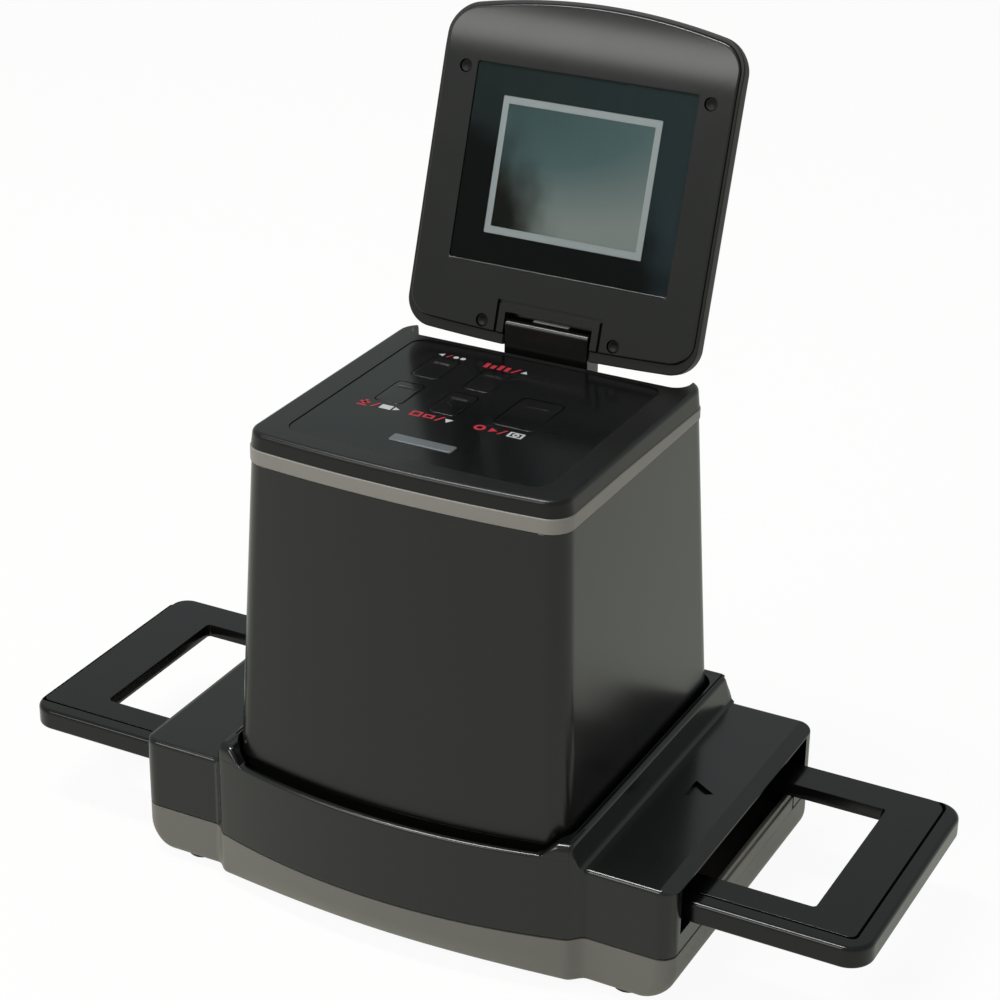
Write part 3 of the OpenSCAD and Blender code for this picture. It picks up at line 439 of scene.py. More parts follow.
def clear_sheet():
    """Thin clear cover: it lets what lies under it show, with a gloss of its own."""
    return new_material("screen glass", {"Base Color": (0.02, 0.024, 0.026, 1), "Roughness": 0.05,
                                         "Specular IOR Level": 0.15, "Alpha": 0.1})[0]


def lid_place(tree, u, v):
    """Sockets of u and v from the display's middle on the open lid, each as a share of a length in mm."""
    place = object_place(tree)
    middle = (on_lid(0.0, DISPLAY_MIDDLE, FACE_N) + axis) * MM
    sockets = []
    for length, way in ((u, np.array([1.0, 0, 0])), (v, np.array([0, sin(LEAN), cos(LEAN)]))):
        along = node(tree, "VectorMath", {0: place, 1: tuple(way / (length * MM))}, operation="DOT_PRODUCT")
        sockets.append(reckon(tree, "SUBTRACT", along.outputs["Value"], float(way @ middle / (length * MM))))
    return sockets


def painted_screen_light(name, dark, shadow, tones, light, roughness):
    """Painted reflection and shadow in the screen's colour: tones of a painted reflection follow the distance
    from one point, and a painted shadow lies round another.
    Shadow and light each give that point from the display's middle, the reach across and up in millimetres,
    and, for the shadow, where in that reach it begins and ends."""
    material, tree, surface = new_material(name)

    def away(point, reach):
        x, y = lid_place(tree, *reach)
        joined = node(tree, "CombineXYZ", {"X": x, "Y": y}).outputs["Vector"]
        far = node(tree, "VectorMath", {0: joined, 1: (point[0] / reach[0], point[1] / reach[1], 0)},
                   operation="DISTANCE")
        return joined, far.outputs["Value"]
    # painted reflection: the base colour runs through the tones with the distance from one point
    lit = ramp(tree, away(*light)[1], tones)
    # painted shadow: a dark patch with a wavering edge round another point
    point, reach, begin, end = shadow
    joined, distance = away(point, reach)
    wave = node(tree, "TexNoise", {"Vector": joined, "Scale": 2.6, "Detail": 1})
    sway = 0.5
    moved = reckon(tree, "MULTIPLY_ADD", wave.outputs["Fac"], sway, distance)
    mask = node(tree, "MapRange", {"Value": moved, "From Min": begin + sway / 2, "From Max": end + sway / 2},
                interpolation_type="SMOOTHSTEP")
    feed(surface, {"Base Color": blend(tree, mask.outputs["Result"], (*dark, 1), lit), "Roughness": roughness,
                   "Specular IOR Level": 0.05})
    return material


# ---- the lid's own frame ----

def on_lid(u, v, n):
    """Points of the lid, u across, v up and n out of the screen, turned to where the open lid is."""
    u, v, n = np.broadcast_arrays(u, v, n)
    y = HINGE_BACK + v * sin(LEAN) - n * cos(LEAN)
    return np.stack([u, y, hinge[2] + v * cos(LEAN) + n * sin(LEAN)], -1)


def face(v):
    """The lid's face at v: flat, then a round of radius VISOR_R turning back."""
    over = np.clip(v - VISOR_START, 0, VISOR_R)
    return FACE_N - VISOR_R + np.sqrt(VISOR_R ** 2 - over ** 2)


def lid_outline(inset, low=0.0):
    """The lid's outline in u and v, drawn in by inset, and by low more along its lower edge."""
    return outline(LID["half_w"] - inset, LID["drop"] - inset - low, LID["top"] - inset,
                   max(LID["r"] - inset, 0.6), bow=LID["low_bow"], back_bow=LID["bow"], side=64)


def lid_ring(points, n):
    """A ring of the lid; n is a depth, or a function of v that gives it."""
    return on_lid(points[:, 0], points[:, 1], n(points[:, 1]) if callable(n) else n)


def lid_plate(size, middle, r, n0, n1, edge=0.0):
    """Rings of a flat rounded plate on the lid, from depth n0 to n1, with its front edge rounded."""
    def at(inset):
        return rectangle(size, -inset, max(r - inset, 0.1), (0, middle), side=8)
    return [lid_ring(at(0), n0)] + [lid_ring(at(inset), n1 - drop) for inset, drop in quarter(edge)]


def lid_column(points, n0, n1):
    """Prism on an outline of the lid, to cut with."""
    return cutter([lid_ring(points, n0), lid_ring(points, n1)])


def lid_block(low, high):
    """Plain box on the lid, to cut with."""
    (u0, v0, n0), (u1, v1, n1) = low, high
    return lid_column(np.array([(u0, v0), (u1, v0), (u1, v1), (u0, v1)]), n0, n1)


# ---- base ----

def soft_step(x, start, end):
    """0 before start, 1 after end, and an S between them."""
    t = np.clip((x - start) / (end - start), 0, 1)
    return t * t * (3 - 2 * t)


def centre_share(x):
    """1 along the base's centre, 0 along its wings, and an S between."""
    return 1 - soft_step(np.abs(x), CENTRE_HALF - CENTRE_EASE, CENTRE_HALF + CENTRE_EASE)


def front_line(x, middle=0.0):
    """How far the base's front stands before the axis at x: the wing's front, an S up to the centre's, and
    its bow, less middle where the bow is greatest."""
    bow = (CENTRE_BOW - middle) * np.clip(1 - (x / CENTRE_HALF) ** 2, 0, 1)
    return WING_FRONT + CENTRE_STEP * centre_share(x) + bow


def base_outline(end, side, middle=0.0):
    """The base from above: wings joined by an S to the centre, which bows out in front. It is drawn in by
    end at its two ends, by side along its front and back, and by middle more where the front bows most."""
    points = outline(WING_HALF - end, WING_FRONT - side, WING_BACK - side, max(WING_R - side, 0.5), side=220)
    front = points[:, 1] < -WING_FRONT / 2
    points[:, 1] -= np.where(front, front_line(points[:, 0], middle) - WING_FRONT, 0)
    points[:, 1] += np.where(points[:, 1] > 0, CENTRE_BACK * centre_share(points[:, 0]), 0)
    return points


def front_strip(half_w, inset, back, inner, corner):
    """Outline of a strip behind the centre's front line, from -half_w to half_w, back to y = back. It is
    drawn in by inset, its front by inner more, and its front corners are eased over a length of corner."""
    x = np.linspace(-1, 1, 121) * (half_w - inset)
    ease = np.clip((np.abs(x) - (half_w - inset - corner)) / corner, 0, 1)
    y = -front_line(x) + inset + inner + corner * (1 - np.sqrt(1 - ease ** 2))
    rear = np.column_stack([x[::-1], np.full(len(x), back)])
    return np.vstack([np.column_stack([x, y]), rear])


def belly(r, h):
    """How far a round of radius r stands in from its upright at height h."""
    return r - np.sqrt(np.maximum(r * r - np.maximum(r - h, 0) ** 2, 0))


def lower_shell(material):
    """Grey lower shell: upright, then rounded in to a flat bottom, more at its ends and its bow."""
    wall, bottom, edge, seam = 2.0, shell_low[2], 0.2, 0.45
    end_r, side_r, bow_r = 8.5, 2.6, 9.5
    rings = []
    for h in bow_r * np.linspace(0, 1, 16) ** 2:
        side = belly(side_r, h)
        rings.append(ring(base_outline(belly(end_r, h), side, belly(bow_r, h) - side), bottom + h))
    for inset, drop in quarter(edge, 4):
        rings.append(ring(base_outline(inset, inset), seam_z - seam - drop))
    for inset, z in ((0.9, seam_z - seam), (0.9, seam_z), (wall, seam_z)):
        rings.append(ring(base_outline(inset, inset), z))
    rings.append(ring(base_outline(end_r, wall + 3, 5), bottom + wall))
    piece = skin("lower_shell_skin", rings, material)
    for x, y in SCREW_WELLS:
        carve(piece, column(disc(x, y, SCREW_WELL_R, 40), bottom - 1, bottom + 2))
    for side in (-1, 1):
        steps = (0.05, seam_z - 3, SLOT[2] - 2, 0.5), (0.65, SLOT[2] - 2.5, SLOT[2] - 0.05, 0.3)
        for gap, z0, z1, r in steps:
            x0, x1 = sorted((side * (WING_HALF - gap), side * (WING_HALF - wall)))
            join(piece, rounded_block((x0, LIP[0], z0), (x1, LIP[1], z1), r))
    return finish(piece, "base", "warm_grey", "lower_shell")


def rounded_block(low, high, r):
    """Box whose upper edges are rounded by r."""
    (x0, y0, z0), (x1, y1, z1) = low, high
    size, middle = (x1 - x0, y1 - y0), ((x0 + x1) / 2, (y0 + y1) / 2)

    def at(inset):
        return rectangle(size, -inset, max(r - inset, 0.05), middle, corner=8, side=2)
    return cutter(prism(at, z0, z1, top=r, steps=8))


def tower_outline(z, inset=0.0, lean=0.0):
    """The tower's outline at height z, drawn in by inset, and by lean more at its two sides."""
    t = (z - deck_z) / (band_z - deck_z)
    mix = {key: FOOT[key] + (NECK[key] - FOOT[key]) * t for key in FOOT}
    return outline(mix["half_w"] - inset - lean, mix["front"] - inset, mix["back"] - inset,
                   max(TOWER_R[0] - inset, 0.5), max(TOWER_R[1] - inset, 0.5), bow=mix["bow"], side=80)


def collar(side):
    """The collar beside the tower: its section in x and z, carried along y, with rounded ends."""
    up, r = collar_z, 1.6
    section = np.array([
        (COLLAR_IN, deck_z - 2), (COLLAR_IN, up - 0.3), (COLLAR_IN + 0.3, up),
        *arc(COLLAR_OUT - r, up - r, r, np.linspace(pi / 2, 0.12, 9)),
        (COLLAR_OUT + 1.3, deck_z + 1.6), (COLLAR_OUT + 1.7, deck_z + 0.6),
        (COLLAR_OUT + 2.6, deck_z + 0.02), (COLLAR_OUT + 2.6, deck_z - 2)])
    stations = [(inset - 51.8, drop) for inset, drop in quarter(3.0, 8)]
    stations += [(WING_BACK + 0.9 - inset, drop) for inset, drop in quarter(2.6, 8)[::-1]]
    lofts = []
    for y, drop in stations:
        x, z = section[:, 0].copy(), section[:, 1].copy()
        high = z > deck_z + 2.5
        z[high] -= drop
        x[high & (x > COLLAR_IN + 1)] -= drop * 0.45
        lofts.append(np.column_stack([side * x, np.full(len(x), y), z]))
    return cutter(lofts[::-side])


def collar_corner(side):
    """Hump that fills the corner between the collar's front end and the front wall. Its section in y and z is
    carried along x: its top rises in an S from the wall to the collar, and turns down to the front in a
    quarter round."""
    low, high, r, back = deck_z + FRONT_RISE - 0.4, collar_z - 0.1, 2.6, -41
    share = np.linspace(0, 1, 40) ** 1.6
    rings = []
    for x in np.linspace(47.0, COLLAR_OUT - 0.7, 36):
        start = 0.05 - front_line(x)
        y = start + share * (back - start)
        rise = soft_step(x, 47.2, 53.4)
        z = low + (high - low - belly(r, y - start)) * rise
        section = np.vstack([np.column_stack([y, z]), [(y[-1], deck_z - 2), (y[0], deck_z - 2)]])
        rings.append(np.insert(section, 0, side * x, axis=1))
    return cutter(rings)


def base_cover(material):
    """Black cover: wings, bowed front wall, collar round the tower's foot, and slots for the tray."""
    def front_wall(inset):
        return front_strip(CENTRE_HALF - 0.5, inset - 0.03, -40, 0, 2.5)

    def wings(inset):
        return base_outline(inset, inset)
    piece = skin("base_cover_skin", prism(wings, seam_z + 0.02, deck_z, 0.35, 1.6, 9), material)
    join(piece, cutter(prism(front_wall, seam_z + 0.6, deck_z + FRONT_RISE, top=1.0, steps=9)))
    for side in (-1, 1):
        room = column(base_outline(0.1, 0.1), deck_z - 3, collar_z + 1)
        join(piece, carve(collar(side), room, "INTERSECT"))
        join(piece, collar_corner(side))
        inner, outer = sorted((side * 43.0, side * (COLLAR_OUT - 0.9)))
        join(piece, rounded_block((inner, 43, deck_z - 2.2), (outer, WING_BACK + 0.4, collar_z - 0.05), 0.6))
    half_w, past = COLLAR_OUT - 1, WING_HALF + 1
    low, high = (-half_w, FOOT["back"] + 0.5, deck_z - 2), (half_w, WING_BACK + 0.95, collar_z)
    join(piece, rounded_block(low, high, 0.8))
    carve(piece, column(tower_outline(deck_z, -1.0), deck_z - 0.05, collar_z + 2))
    carve(piece, column(front_strip(48.4, 0, -30, 1.6, 2.0), deck_z - 0.04, collar_z + 2))
    carve(piece, block((-past, SLOT[0], SLOT[2]), (past, SLOT[1], SLOT[3])))
    carve(piece, block((-past, LIP[0] - 0.3, seam_z - 1), (past, LIP[1] + 0.3, SLOT[2] + 1)))
    for side in (-1, 1):
        middle = side * (COLLAR_IN + 1.3)
        carve(piece, block((middle - 0.25, -44, collar_z - 0.6), (middle + 0.25, 62, collar_z + 1)))
        width = 4.6 if side > 0 else 1.8
        fall = 0.27 * (width + 1)
        slope = side * (WING_HALF - width), side * past, side * past
        slope = np.column_stack([slope, (deck_z + 0.01, deck_z - fall, deck_z + 1)])
        carve(piece, cutter([np.insert(slope, 1, y, axis=1) for y in (-80, 80)]))
    carve(piece, column(ARROW, deck_z - 1.2, deck_z + 1))
    # the slopes at its ends meet the deck at 15 degrees and stay crisp
    return finish(piece, "base", "black_plastic", "base_cover", angle=13.5)


def rubber_feet(material):
    """Four round feet with a rounded lower edge, each a turned profile."""
    r, h = 4.5, foot_top
    profile = [(r, h)] + [(r - inset, drop) for inset, drop in quarter(0.9, 6)]
    profile += [(r - 1.6, 0.0), (r - 1.9, 0.3), (1.0, 0.3)]
    feet = [skin("foot", [ring(disc(x, y, radius, 48), z) for radius, z in reversed(profile)], material)
            for x, y in FEET]
    return finish(gather("rubber_feet_skin", feet), "base", "foot_rubber", "rubber_feet")


def gather(name, pieces):
    """One object from several, whose solids stay apart."""
    whole = pieces[0]
    whole.name = whole.data.name = name
    with bpy.context.temp_override(active_object=whole, selected_editable_objects=pieces):
        bpy.ops.object.join()
    return whole


# ---- tower ----

def tower_housing(material):
    """Housing: a flaring wall with a bowed front, on a narrower foot."""
    step = deck_z + FOOT_STEP
    profile = [(deck_z, 0.8), (step - 0.35, 0.8), (step - 0.1, 0.55), (step, 0.2), (step + 0.25, 0.04),
               (step + 0.7, 0.0), (band_z - 0.3, 0.0), (band_z - 0.05, 0.15), (band_z - 0.05, WALL),
               (deck_z, WALL)]
    rings = [ring(tower_outline(z, inset), z) for z, inset in profile]
    piece = skin("tower_housing_skin", rings, material, joined=True)
    room = 0.35
    for socket in ("usb_socket", "card_slot"):
        low, high = low_high(socket)
        carve(piece, block(low - axis - (room, -6, room), high - axis + (room, 14, room)))
    return finish(piece, "base", "black_plastic", "tower_housing")


def band_top(points):
    """Height of the band's upper edge: level at the front, and lower towards the back."""
    level = 10.0   # it stays level up to this far before the axis
    return bezel_z - BAND_TAPER * np.clip((points[:, 1] + level) / (NECK["back"] + level), 0, 1)


def trim_band(material):
    """Grey band round the top of the tower, with rounded edges, slimmer towards the back."""
    def at(inset):
        return tower_outline(band_z, inset - 0.3)
    rings = [ring(at(WALL + 0.3), band_z)]
    rings += [ring(at(inset), band_z + drop) for inset, drop in quarter(0.35, 4)[::-1]]
    rings += [ring(at(inset), band_top(at(inset)) - drop) for inset, drop in quarter(0.35, 4)]
    rings.append(ring(at(WALL + 0.3), band_top(at(WALL + 0.3))))
    return finish(skin("trim_band_skin", rings, material, joined=True), "base", "warm_grey", "trim_band")


def panel_outline(inset):
    return outline(PANEL["half_w"] - inset, PANEL["front"] - inset, PANEL["back"] - inset,
                   max(PANEL["r"] - inset, 0.3), bow=PANEL["bow"], side=40)


def top_bezel(material):
    """Bezel round the panel, rounded along its top, with a recess for the lid between two ears."""
    lean, edge = 0.5, 1.5
    rings = []
    for inset, drop in quarter(0.25)[::-1]:
        points = tower_outline(band_z, inset)
        rings.append(ring(points, band_top(points) + 0.02 + drop))
    rings += [ring(tower_outline(band_z, inset, lean), top_z - drop) for inset, drop in quarter(edge, 7)]
    piece = skin("top_bezel_skin", rings, material)

    def recess(inset):
        return rectangle(RECESS, -inset, RECESS_R - inset, RECESS_AT, corner=18)
    carve(piece, cutter(prism(recess, bezel_z + 0.6, top_z + 1, bottom=0.8)))
    carve(piece, column(panel_outline(-0.07), panel_z, top_z + 1))
    return finish(piece, "base", "black_plastic", "top_bezel")


def key_size(name):
    return OK_KEY if name == "ok" else KEY


def key_outline(at, size, grow=0.0, r=KEY_R):
    return rectangle(size, grow, r + grow, at, corner=8, side=6)


def control_panel(material):
    """Panel plate with its wells for the buttons and the indicator's window."""
    piece = skin("control_panel_skin", prism(panel_outline, panel_z, panel_top, top=0.25), material)
    for name, at in KEYS.items():
        carve(piece, column(key_outline(at, key_size(name), 0.3), panel_z - 1, panel_top + 1))
    carve(piece, column(key_outline(WINDOW_AT, WINDOW, 0.05, WINDOW_R), panel_z - 1, panel_top + 1))
    return finish(piece, "base", "panel_black", "control_panel")


def button(name, material):
    """A button: its flange under the panel, and a cap whose crowned top carries a low ridge across."""
    at, size = KEYS[name], key_size(name)
    low, top = low_high("button_" + name)[0][2], panel_top + 0.02
    w, l = size
    flange, flange_t, edge = key_outline(at, size, 0.85), 1.2, 0.2
    rings = [ring(flange, low), ring(flange, low + flange_t), ring(key_outline(at, size), low + flange_t)]
    rings += [ring(key_outline(at, size, -inset), top - drop) for inset, drop in quarter(edge)]
    rim = key_outline(at, size, -edge)
    for t in np.linspace(0.03, 0.98, 30):
        points = at + (rim - at) * (1 - t)
        across = (points - at) / (w / 2, l / 2)
        crown = 0.05 * (1 - np.abs(across[:, 0]) ** 3) * (1 - np.abs(across[:, 1]) ** 3)
        ridge = 0.16 * np.exp(-((points[:, 1] - at[1] - 0.25 * l) / 0.45) ** 2) * (1 - across[:, 0] ** 4)
        rings.append(ring(points, top + crown + ridge))
    return finish(skin(f"{name}_button_cap", rings, material), "key_" + name, "gloss_black", "button_" + name)


def indicator(material):
    """Pale bar of the indicator, slightly domed."""
    low, high = (corner[2] for corner in low_high("indicator_window"))

    def at(grow):
        return key_outline(WINDOW_AT, WINDOW, grow, WINDOW_R)
    rings = [ring(at(1), low), ring(at(1), low + 0.8), ring(at(0), low + 0.8)]
    rings += [ring(at(-inset), high - drop) for inset, drop in quarter(0.4)]
    return finish(skin("indicator_bar", rings, material), "base", "window_pale", "indicator_window")


# ---- printed marks ----

def bar(x, y, w, l, lean=0.0):
    """Upright bar round (x, y), whose top leans to the right."""
    return np.array([(x - w / 2 - lean, y - l / 2), (x + w / 2 - lean, y - l / 2),
                     (x + w / 2 + lean, y + l / 2), (x - w / 2 + lean, y + l / 2)])


def triangle(x, y, r, turn):
    return arc(x, y, r, radians(turn) + np.array([0, 2 * pi / 3, 4 * pi / 3]))


def hollow(outer, share):
    """Closed band between an outline and the same outline drawn in to a share of its size, as quads."""
    middle = outer.mean(0)
    inner = middle + (outer - middle) * share
    after = np.roll(np.arange(len(outer)), -1)
    return [np.array([outer[i], outer[j], inner[j], inner[i]]) for i, j in enumerate(after)]


def printed(name, shapes, material):
    """Flat print on the panel: a thin plate for each outline."""
    low, top = panel_top + 0.005, panel_top + 0.04
    piece = gather(name, [skin("mark", [ring(shape, low), ring(shape, top)], material) for shape in shapes])
    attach(piece, "base")


def panel_marks(red, white):
    """Small pictograms beside the buttons, each with its place, its scale, its red and its white outlines."""
    signs = {
        "back_left": [
            (0.2, 9.9), 1.05,
            [bar(-0.9, 0, 0.5, 2.0, 0.5)],
            [triangle(-3.2, 0, 1.1, 180), disc(1.2, 0, 0.8), disc(3.4, 0, 0.8)]],
        "back_right": [
            (0.6, 10.6), 1.5,
            [bar(-4.2, 0, 0.9, 2.2), bar(-2.7, -0.2, 0.9, 1.7), bar(-1.2, 0.1, 0.9, 2.3),
             bar(0.3, -0.1, 0.9, 2.0), bar(2.1, 0, 0.5, 2.2, 0.5)],
            [triangle(4.0, 0, 0.8, 90)]],
        "front_left": [
            (-0.6, -10.9), 1.4,
            [bar(-3.4, 0.4, 2.2, 0.7), bar(-3.4, 0.4, 0.7, 2.2), bar(-3.4, -1.2, 2.2, 0.5),
             bar(-0.8, 0, 0.5, 2.2, 0.5)],
            [bar(1.7, 0, 2.6, 1.9), triangle(3.9, 0, 0.9, 0)]],
        "front_right": [
            (-0.6, -10.9), 1.5,
            [*hollow(bar(-3.6, 0, 2.2, 2.2), 0.55), *hollow(bar(-0.9, 0, 2.2, 1.6), 0.5),
             bar(1.4, 0, 0.5, 2.2, 0.5)],
            [triangle(3.2, 0, 1.0, -90)]],
        "ok": [
            (-1.6, -14.4), 1.35,
            [*hollow(disc(-4.6, 0, 1.3), 0.5), triangle(-1.7, 0, 1.2, 0), bar(0.6, 0, 0.5, 2.4, 0.6)],
            hollow(bar(3.7, 0, 3.4, 2.4), 0.7) + hollow(disc(3.7, 0, 0.75), 0.45)]}
    reds, whites = [], []
    for name, (away, scale, red_shapes, white_shapes) in signs.items():
        at = np.array(KEYS[name]) + away
        reds += [at + shape * scale for shape in red_shapes]
        whites += [at + shape * scale for shape in white_shapes]
    printed("red_marks", reds, red)
    printed("white_marks", whites, white)


# ---- hinge ----

def hinge_block(material):
    """Block that holds the hinge's pins: a section in y and z, carried along x, with a flat front, a flat top
    whose front edge is rounded, and a back that is round about the hinge."""
    low, high = low_high("hinge_block")
    half = (high[0] - low[0]) / 2
    up, r_front = hinge[2], 1.3
    y_front, z_front = HINGE_BACK - BARREL_R + r_front, up + BARREL_R - r_front

    def section(inset):
        r = BARREL_R - inset
        return np.vstack([arc(HINGE_BACK, up, r, np.linspace(0, pi / 2, 14)),
                          arc(y_front, z_front, r_front - inset, np.linspace(pi / 2, pi, 10)),
                          [(HINGE_BACK - r, bezel_z), (HINGE_BACK + r, bezel_z)]])
    stations = [(-half + drop, inset) for inset, drop in quarter(0.4)[::-1]]
    stations += [(half - drop, inset) for inset, drop in quarter(0.4)]
    rings = [np.insert(section(inset), 0, x, axis=1) for x, inset in stations]
    piece = skin("hinge_block_skin", rings, material)
    width = 6.1   # half the way left for the ribbon
    carve(piece, block((-width, HINGE_BACK - 2.4, up + 0.4), (width, HINGE_BACK + BARREL_R + 1, up + 2)))
    carve(piece, block((-width, HINGE_BACK - 2.8, bezel_z - 1), (width, HINGE_BACK - 1.2, up + 1)))
    return finish(piece, "base", "black_plastic", "hinge_block")


def ribbon_bend(material):
    """The ribbon where it bends over the hinge block: a thin strip with rounded edges on the block's top,
    painted lighter than the ribbon film as painted light in the notch's shade.
    """
    low, high = low_high("tower_ribbon")
    size, up = (high[0] - low[0], 1.4), hinge[2] + BARREL_R

    def at(inset):
        return rectangle(size, -inset, 0.1, (0, HINGE_BACK), corner=4, side=2)
    piece = skin("ribbon_bend", prism(at, up - 0.02, up + 0.22, top=0.08), material)
    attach(piece, "base")


# ---- lid ----

def lid_back_shell(material):
    """The lid's back: flat, with strongly rounded edges, up to a thin rim round the bezel."""
    back, inner = FACE_N - LID_T, FACE_N - LID_T + 1.5

    def rim(v):
        return face(v) - 0.8
    rings = [lid_ring(lid_outline(inset), back + drop) for inset, drop in quarter(LID_EDGE, 9)[::-1]]
    for inset, drop in quarter(0.35, 4):
        rings.append(lid_ring(lid_outline(inset), lambda v, drop=drop: rim(v) - drop))
    rings += [lid_ring(lid_outline(LID_RIM, LOW_GAP), rim),
              lid_ring(lid_outline(LID_RIM, LOW_GAP), lambda v: rim(v) - 2.2),
              lid_ring(lid_outline(LID_RIM + 2.2), inner)]
    piece = skin("lid_back_skin", rings, material)
    carve(piece, lid_block((-NOTCH[0], -20, -20), (NOTCH[0], 0.6, 20)))
    carve(piece, lid_block((-NOTCH[0], -20, -1.6), (NOTCH[0], NOTCH[1], 20)))
    carve(piece, block_room())
    return finish(piece, "lid", "black_plastic", "lid_back_shell")


def block_room():
    """Cylinder about the hinge that the hinge block's front edge needs as the lid closes."""
    v, n = disc(0, 0, BARREL_R + 1.25, 48).T
    return cutter([on_lid(u, v, n) for u in (-NOTCH[0] + 0.02, NOTCH[0] - 0.02)])


def lid_bezel(material):
    """The lid's front: a frame round the screen whose upper part turns back in a round."""
    under = GLASS_N - GLASS_T

    def window(grow):
        return rectangle(GLASS, grow, 1.0, (0, GLASS_MIDDLE), side=64)
    outer, edge_r = LID_RIM + 0.12, 0.5
    rings = [lid_ring(lid_outline(outer, LOW_GAP), lambda v: face(v) - 3.0)]
    for inset, drop in quarter(edge_r):
        rings.append(lid_ring(lid_outline(outer + inset, LOW_GAP), lambda v, drop=drop: face(v) - drop))
    edge, hole = lid_outline(outer + edge_r, LOW_GAP), window(0.2)
    rings += [lid_ring(edge + (hole - edge) * t, face) for t in (np.arange(1, 25) / 25) ** 1.2]
    well = (0.2, FACE_N), (0.12, FACE_N - 0.06), (0.1, under), (-2.5, under), (-2.5, FACE_N - 3.4)
    rings += [lid_ring(window(grow), n) for grow, n in well]
    piece = skin("lid_bezel_skin", rings, material, joined=True)
    for at in PLUGS:
        carve(piece, lid_column(disc(*at, 2.0, 32), FACE_N - 2.8, FACE_N + 1))
    carve(piece, notch_line())
    carve(piece, lid_block((-NOTCH[0], -20, -20), (NOTCH[0], NOTCH[1], 20)))
    carve(piece, block_room())
    return finish(piece, "lid", "black_plastic", "lid_bezel")


def notch_line():
    """Fine groove that frames the notch."""
    inner, outer, top = 2.1, 3.0, 3.3
    u, v = NOTCH
    frame_line = lid_block((-u - outer, -12, FACE_N - 1.3), (u + outer, v + top, FACE_N + 1))
    return carve(frame_line, lid_block((-u - inner, -13, FACE_N - 2), (u + inner, v + inner, FACE_N + 2)))


def lid_plugs(material):
    """Round plugs over the lid's screws, slightly dished."""
    profile = [(1.8, 2.0), (1.8, 0.7), (1.7, 0.56), (1.5, 0.54), (0.9, 0.8), (0.4, 0.88)]
    plugs = [skin("plug", [lid_ring(disc(*at, r, 32), FACE_N - depth) for r, depth in profile], material)
             for at in PLUGS]
    return finish(gather("lid_plug_set", plugs), "lid", "foot_rubber", "lid_plugs")


def screen(clear, black, pale, picture, back):
    """The screen: a clear sheet over a black print, a pale border and the display's picture."""
    under, print_top, fit = GLASS_N - GLASS_T, GLASS_N - 0.33, -0.1

    def layer(name, material, size, grow, r, low, top, edge=0.0):
        middle = GLASS_MIDDLE if size is GLASS else DISPLAY_MIDDLE
        return skin(name, lid_plate((size[0] + grow, size[1] + grow), middle, r, low, top, edge), material)
    sheet = layer("screen_sheet", clear, GLASS, 0, 0.9, print_top + 0.03, GLASS_N, 0.12)
    finish(sheet, "lid", "screen_glass", "screen_glass")
    # the print and the picture below take materials with a painted reflection and a painted shadow in their
    # colour
    mask = layer("screen_print", black, GLASS, fit, 0.8, under + 0.03, print_top)
    carve(mask, layer("cutter", None, DISPLAY, 0, 0.3, under - 1, GLASS_N))
    finish(mask, "lid", "gloss_black")
    border = layer("display_border", pale, DISPLAY, fit, 0.3, under - 1.2, print_top - 0.08)
    carve(border, layer("cutter", None, PICTURE, 0, 0.2, print_top - 0.4, GLASS_N))
    finish(border, "lid", "window_pale")
    field = layer("display_picture", picture, PICTURE, fit, 0.2, print_top - 0.38, print_top - 0.16)
    finish(field, "lid", "display_panel")
    case = layer("display_case", back, DISPLAY, 7, 1, under - 3.4, under - 1.25, 0.3)
    finish(case, "lid", "steel", "display_module")


# ---- film tray ----

def tray_outline(inset):
    return outline(TRAY_HALF - inset, TRAY_FRONT - inset, TRAY_BACK - inset, max(TRAY_R - inset, 0.5),
                   corner=18) + (TRAY_SHIFT, 0)


def cover_outline(inset):
    """The tray cover's outline: close behind the frame's front strip, and out to its back and ends."""
    left, right = TRAY_HALF - 1.3 - inset, TRAY_HALF - 5.5 - inset
    front, back = TRAY_FRONT - 5.7 - inset, TRAY_BACK - 0.8 - inset
    points = outline((left + right) / 2, front, back, 2.0, 5.2, corner=12)
    return points + (TRAY_SHIFT - (left - right) / 2, 0)


def film_window(grow):
    return rectangle(FILM, grow, 1.0 + max(grow, 0), FILM_AT, side=8)


def tray_frame(material):
    """The tray's frame: a rounded strip round the cover, on a thin web with the film's window."""
    bottom = tray_low[2]
    piece = skin("tray_frame_skin", prism(tray_outline, bottom, tray_high[2], bottom=0.8, top=1.4, steps=10),
                 material)
    seat = cover_outline(-0.85)
    seat[:, 1] = np.minimum(seat[:, 1], TRAY_BACK - 0.35)
    carve(piece, column(seat, film_z, film_z + 9))
    carve(piece, column(film_window(0), bottom - 1, film_z + 1))
    carve(piece, column(film_window(6), bottom - 1, film_z - 1.2))
    return finish(piece, "film_tray", "gloss_black", "tray_frame")


def tray_cover(material):
    """The tray's cover, whose window widens towards its upper face."""
    top = tray_high[2]
    piece = skin("tray_cover_skin", prism(cover_outline, film_z + 0.02, top - 0.05, top=0.15), material)
    cone = [ring(film_window(-0.5), film_z - 1), ring(film_window(-0.3), film_z + 0.8),
            ring(film_window(0.2), top - 0.35), ring(film_window(0.3), top + 0.2)]
    carve(piece, cutter(cone))
    return finish(piece, "film_tray", "gloss_black", "tray_cover")


# ---- camera, light and floor ----

CAMERA_TURN, CAMERA_RISE, CAMERA_ROLL = (radians(angle) for angle in (27.2, 25.6, 0.8))
CAMERA_AWAY = 0.752
CAMERA_LENS = 93.6
CAMERA_AIM = (7.0, 21.98, 93.1)   # right and up in the picture from the tower's axis at this height, in mm

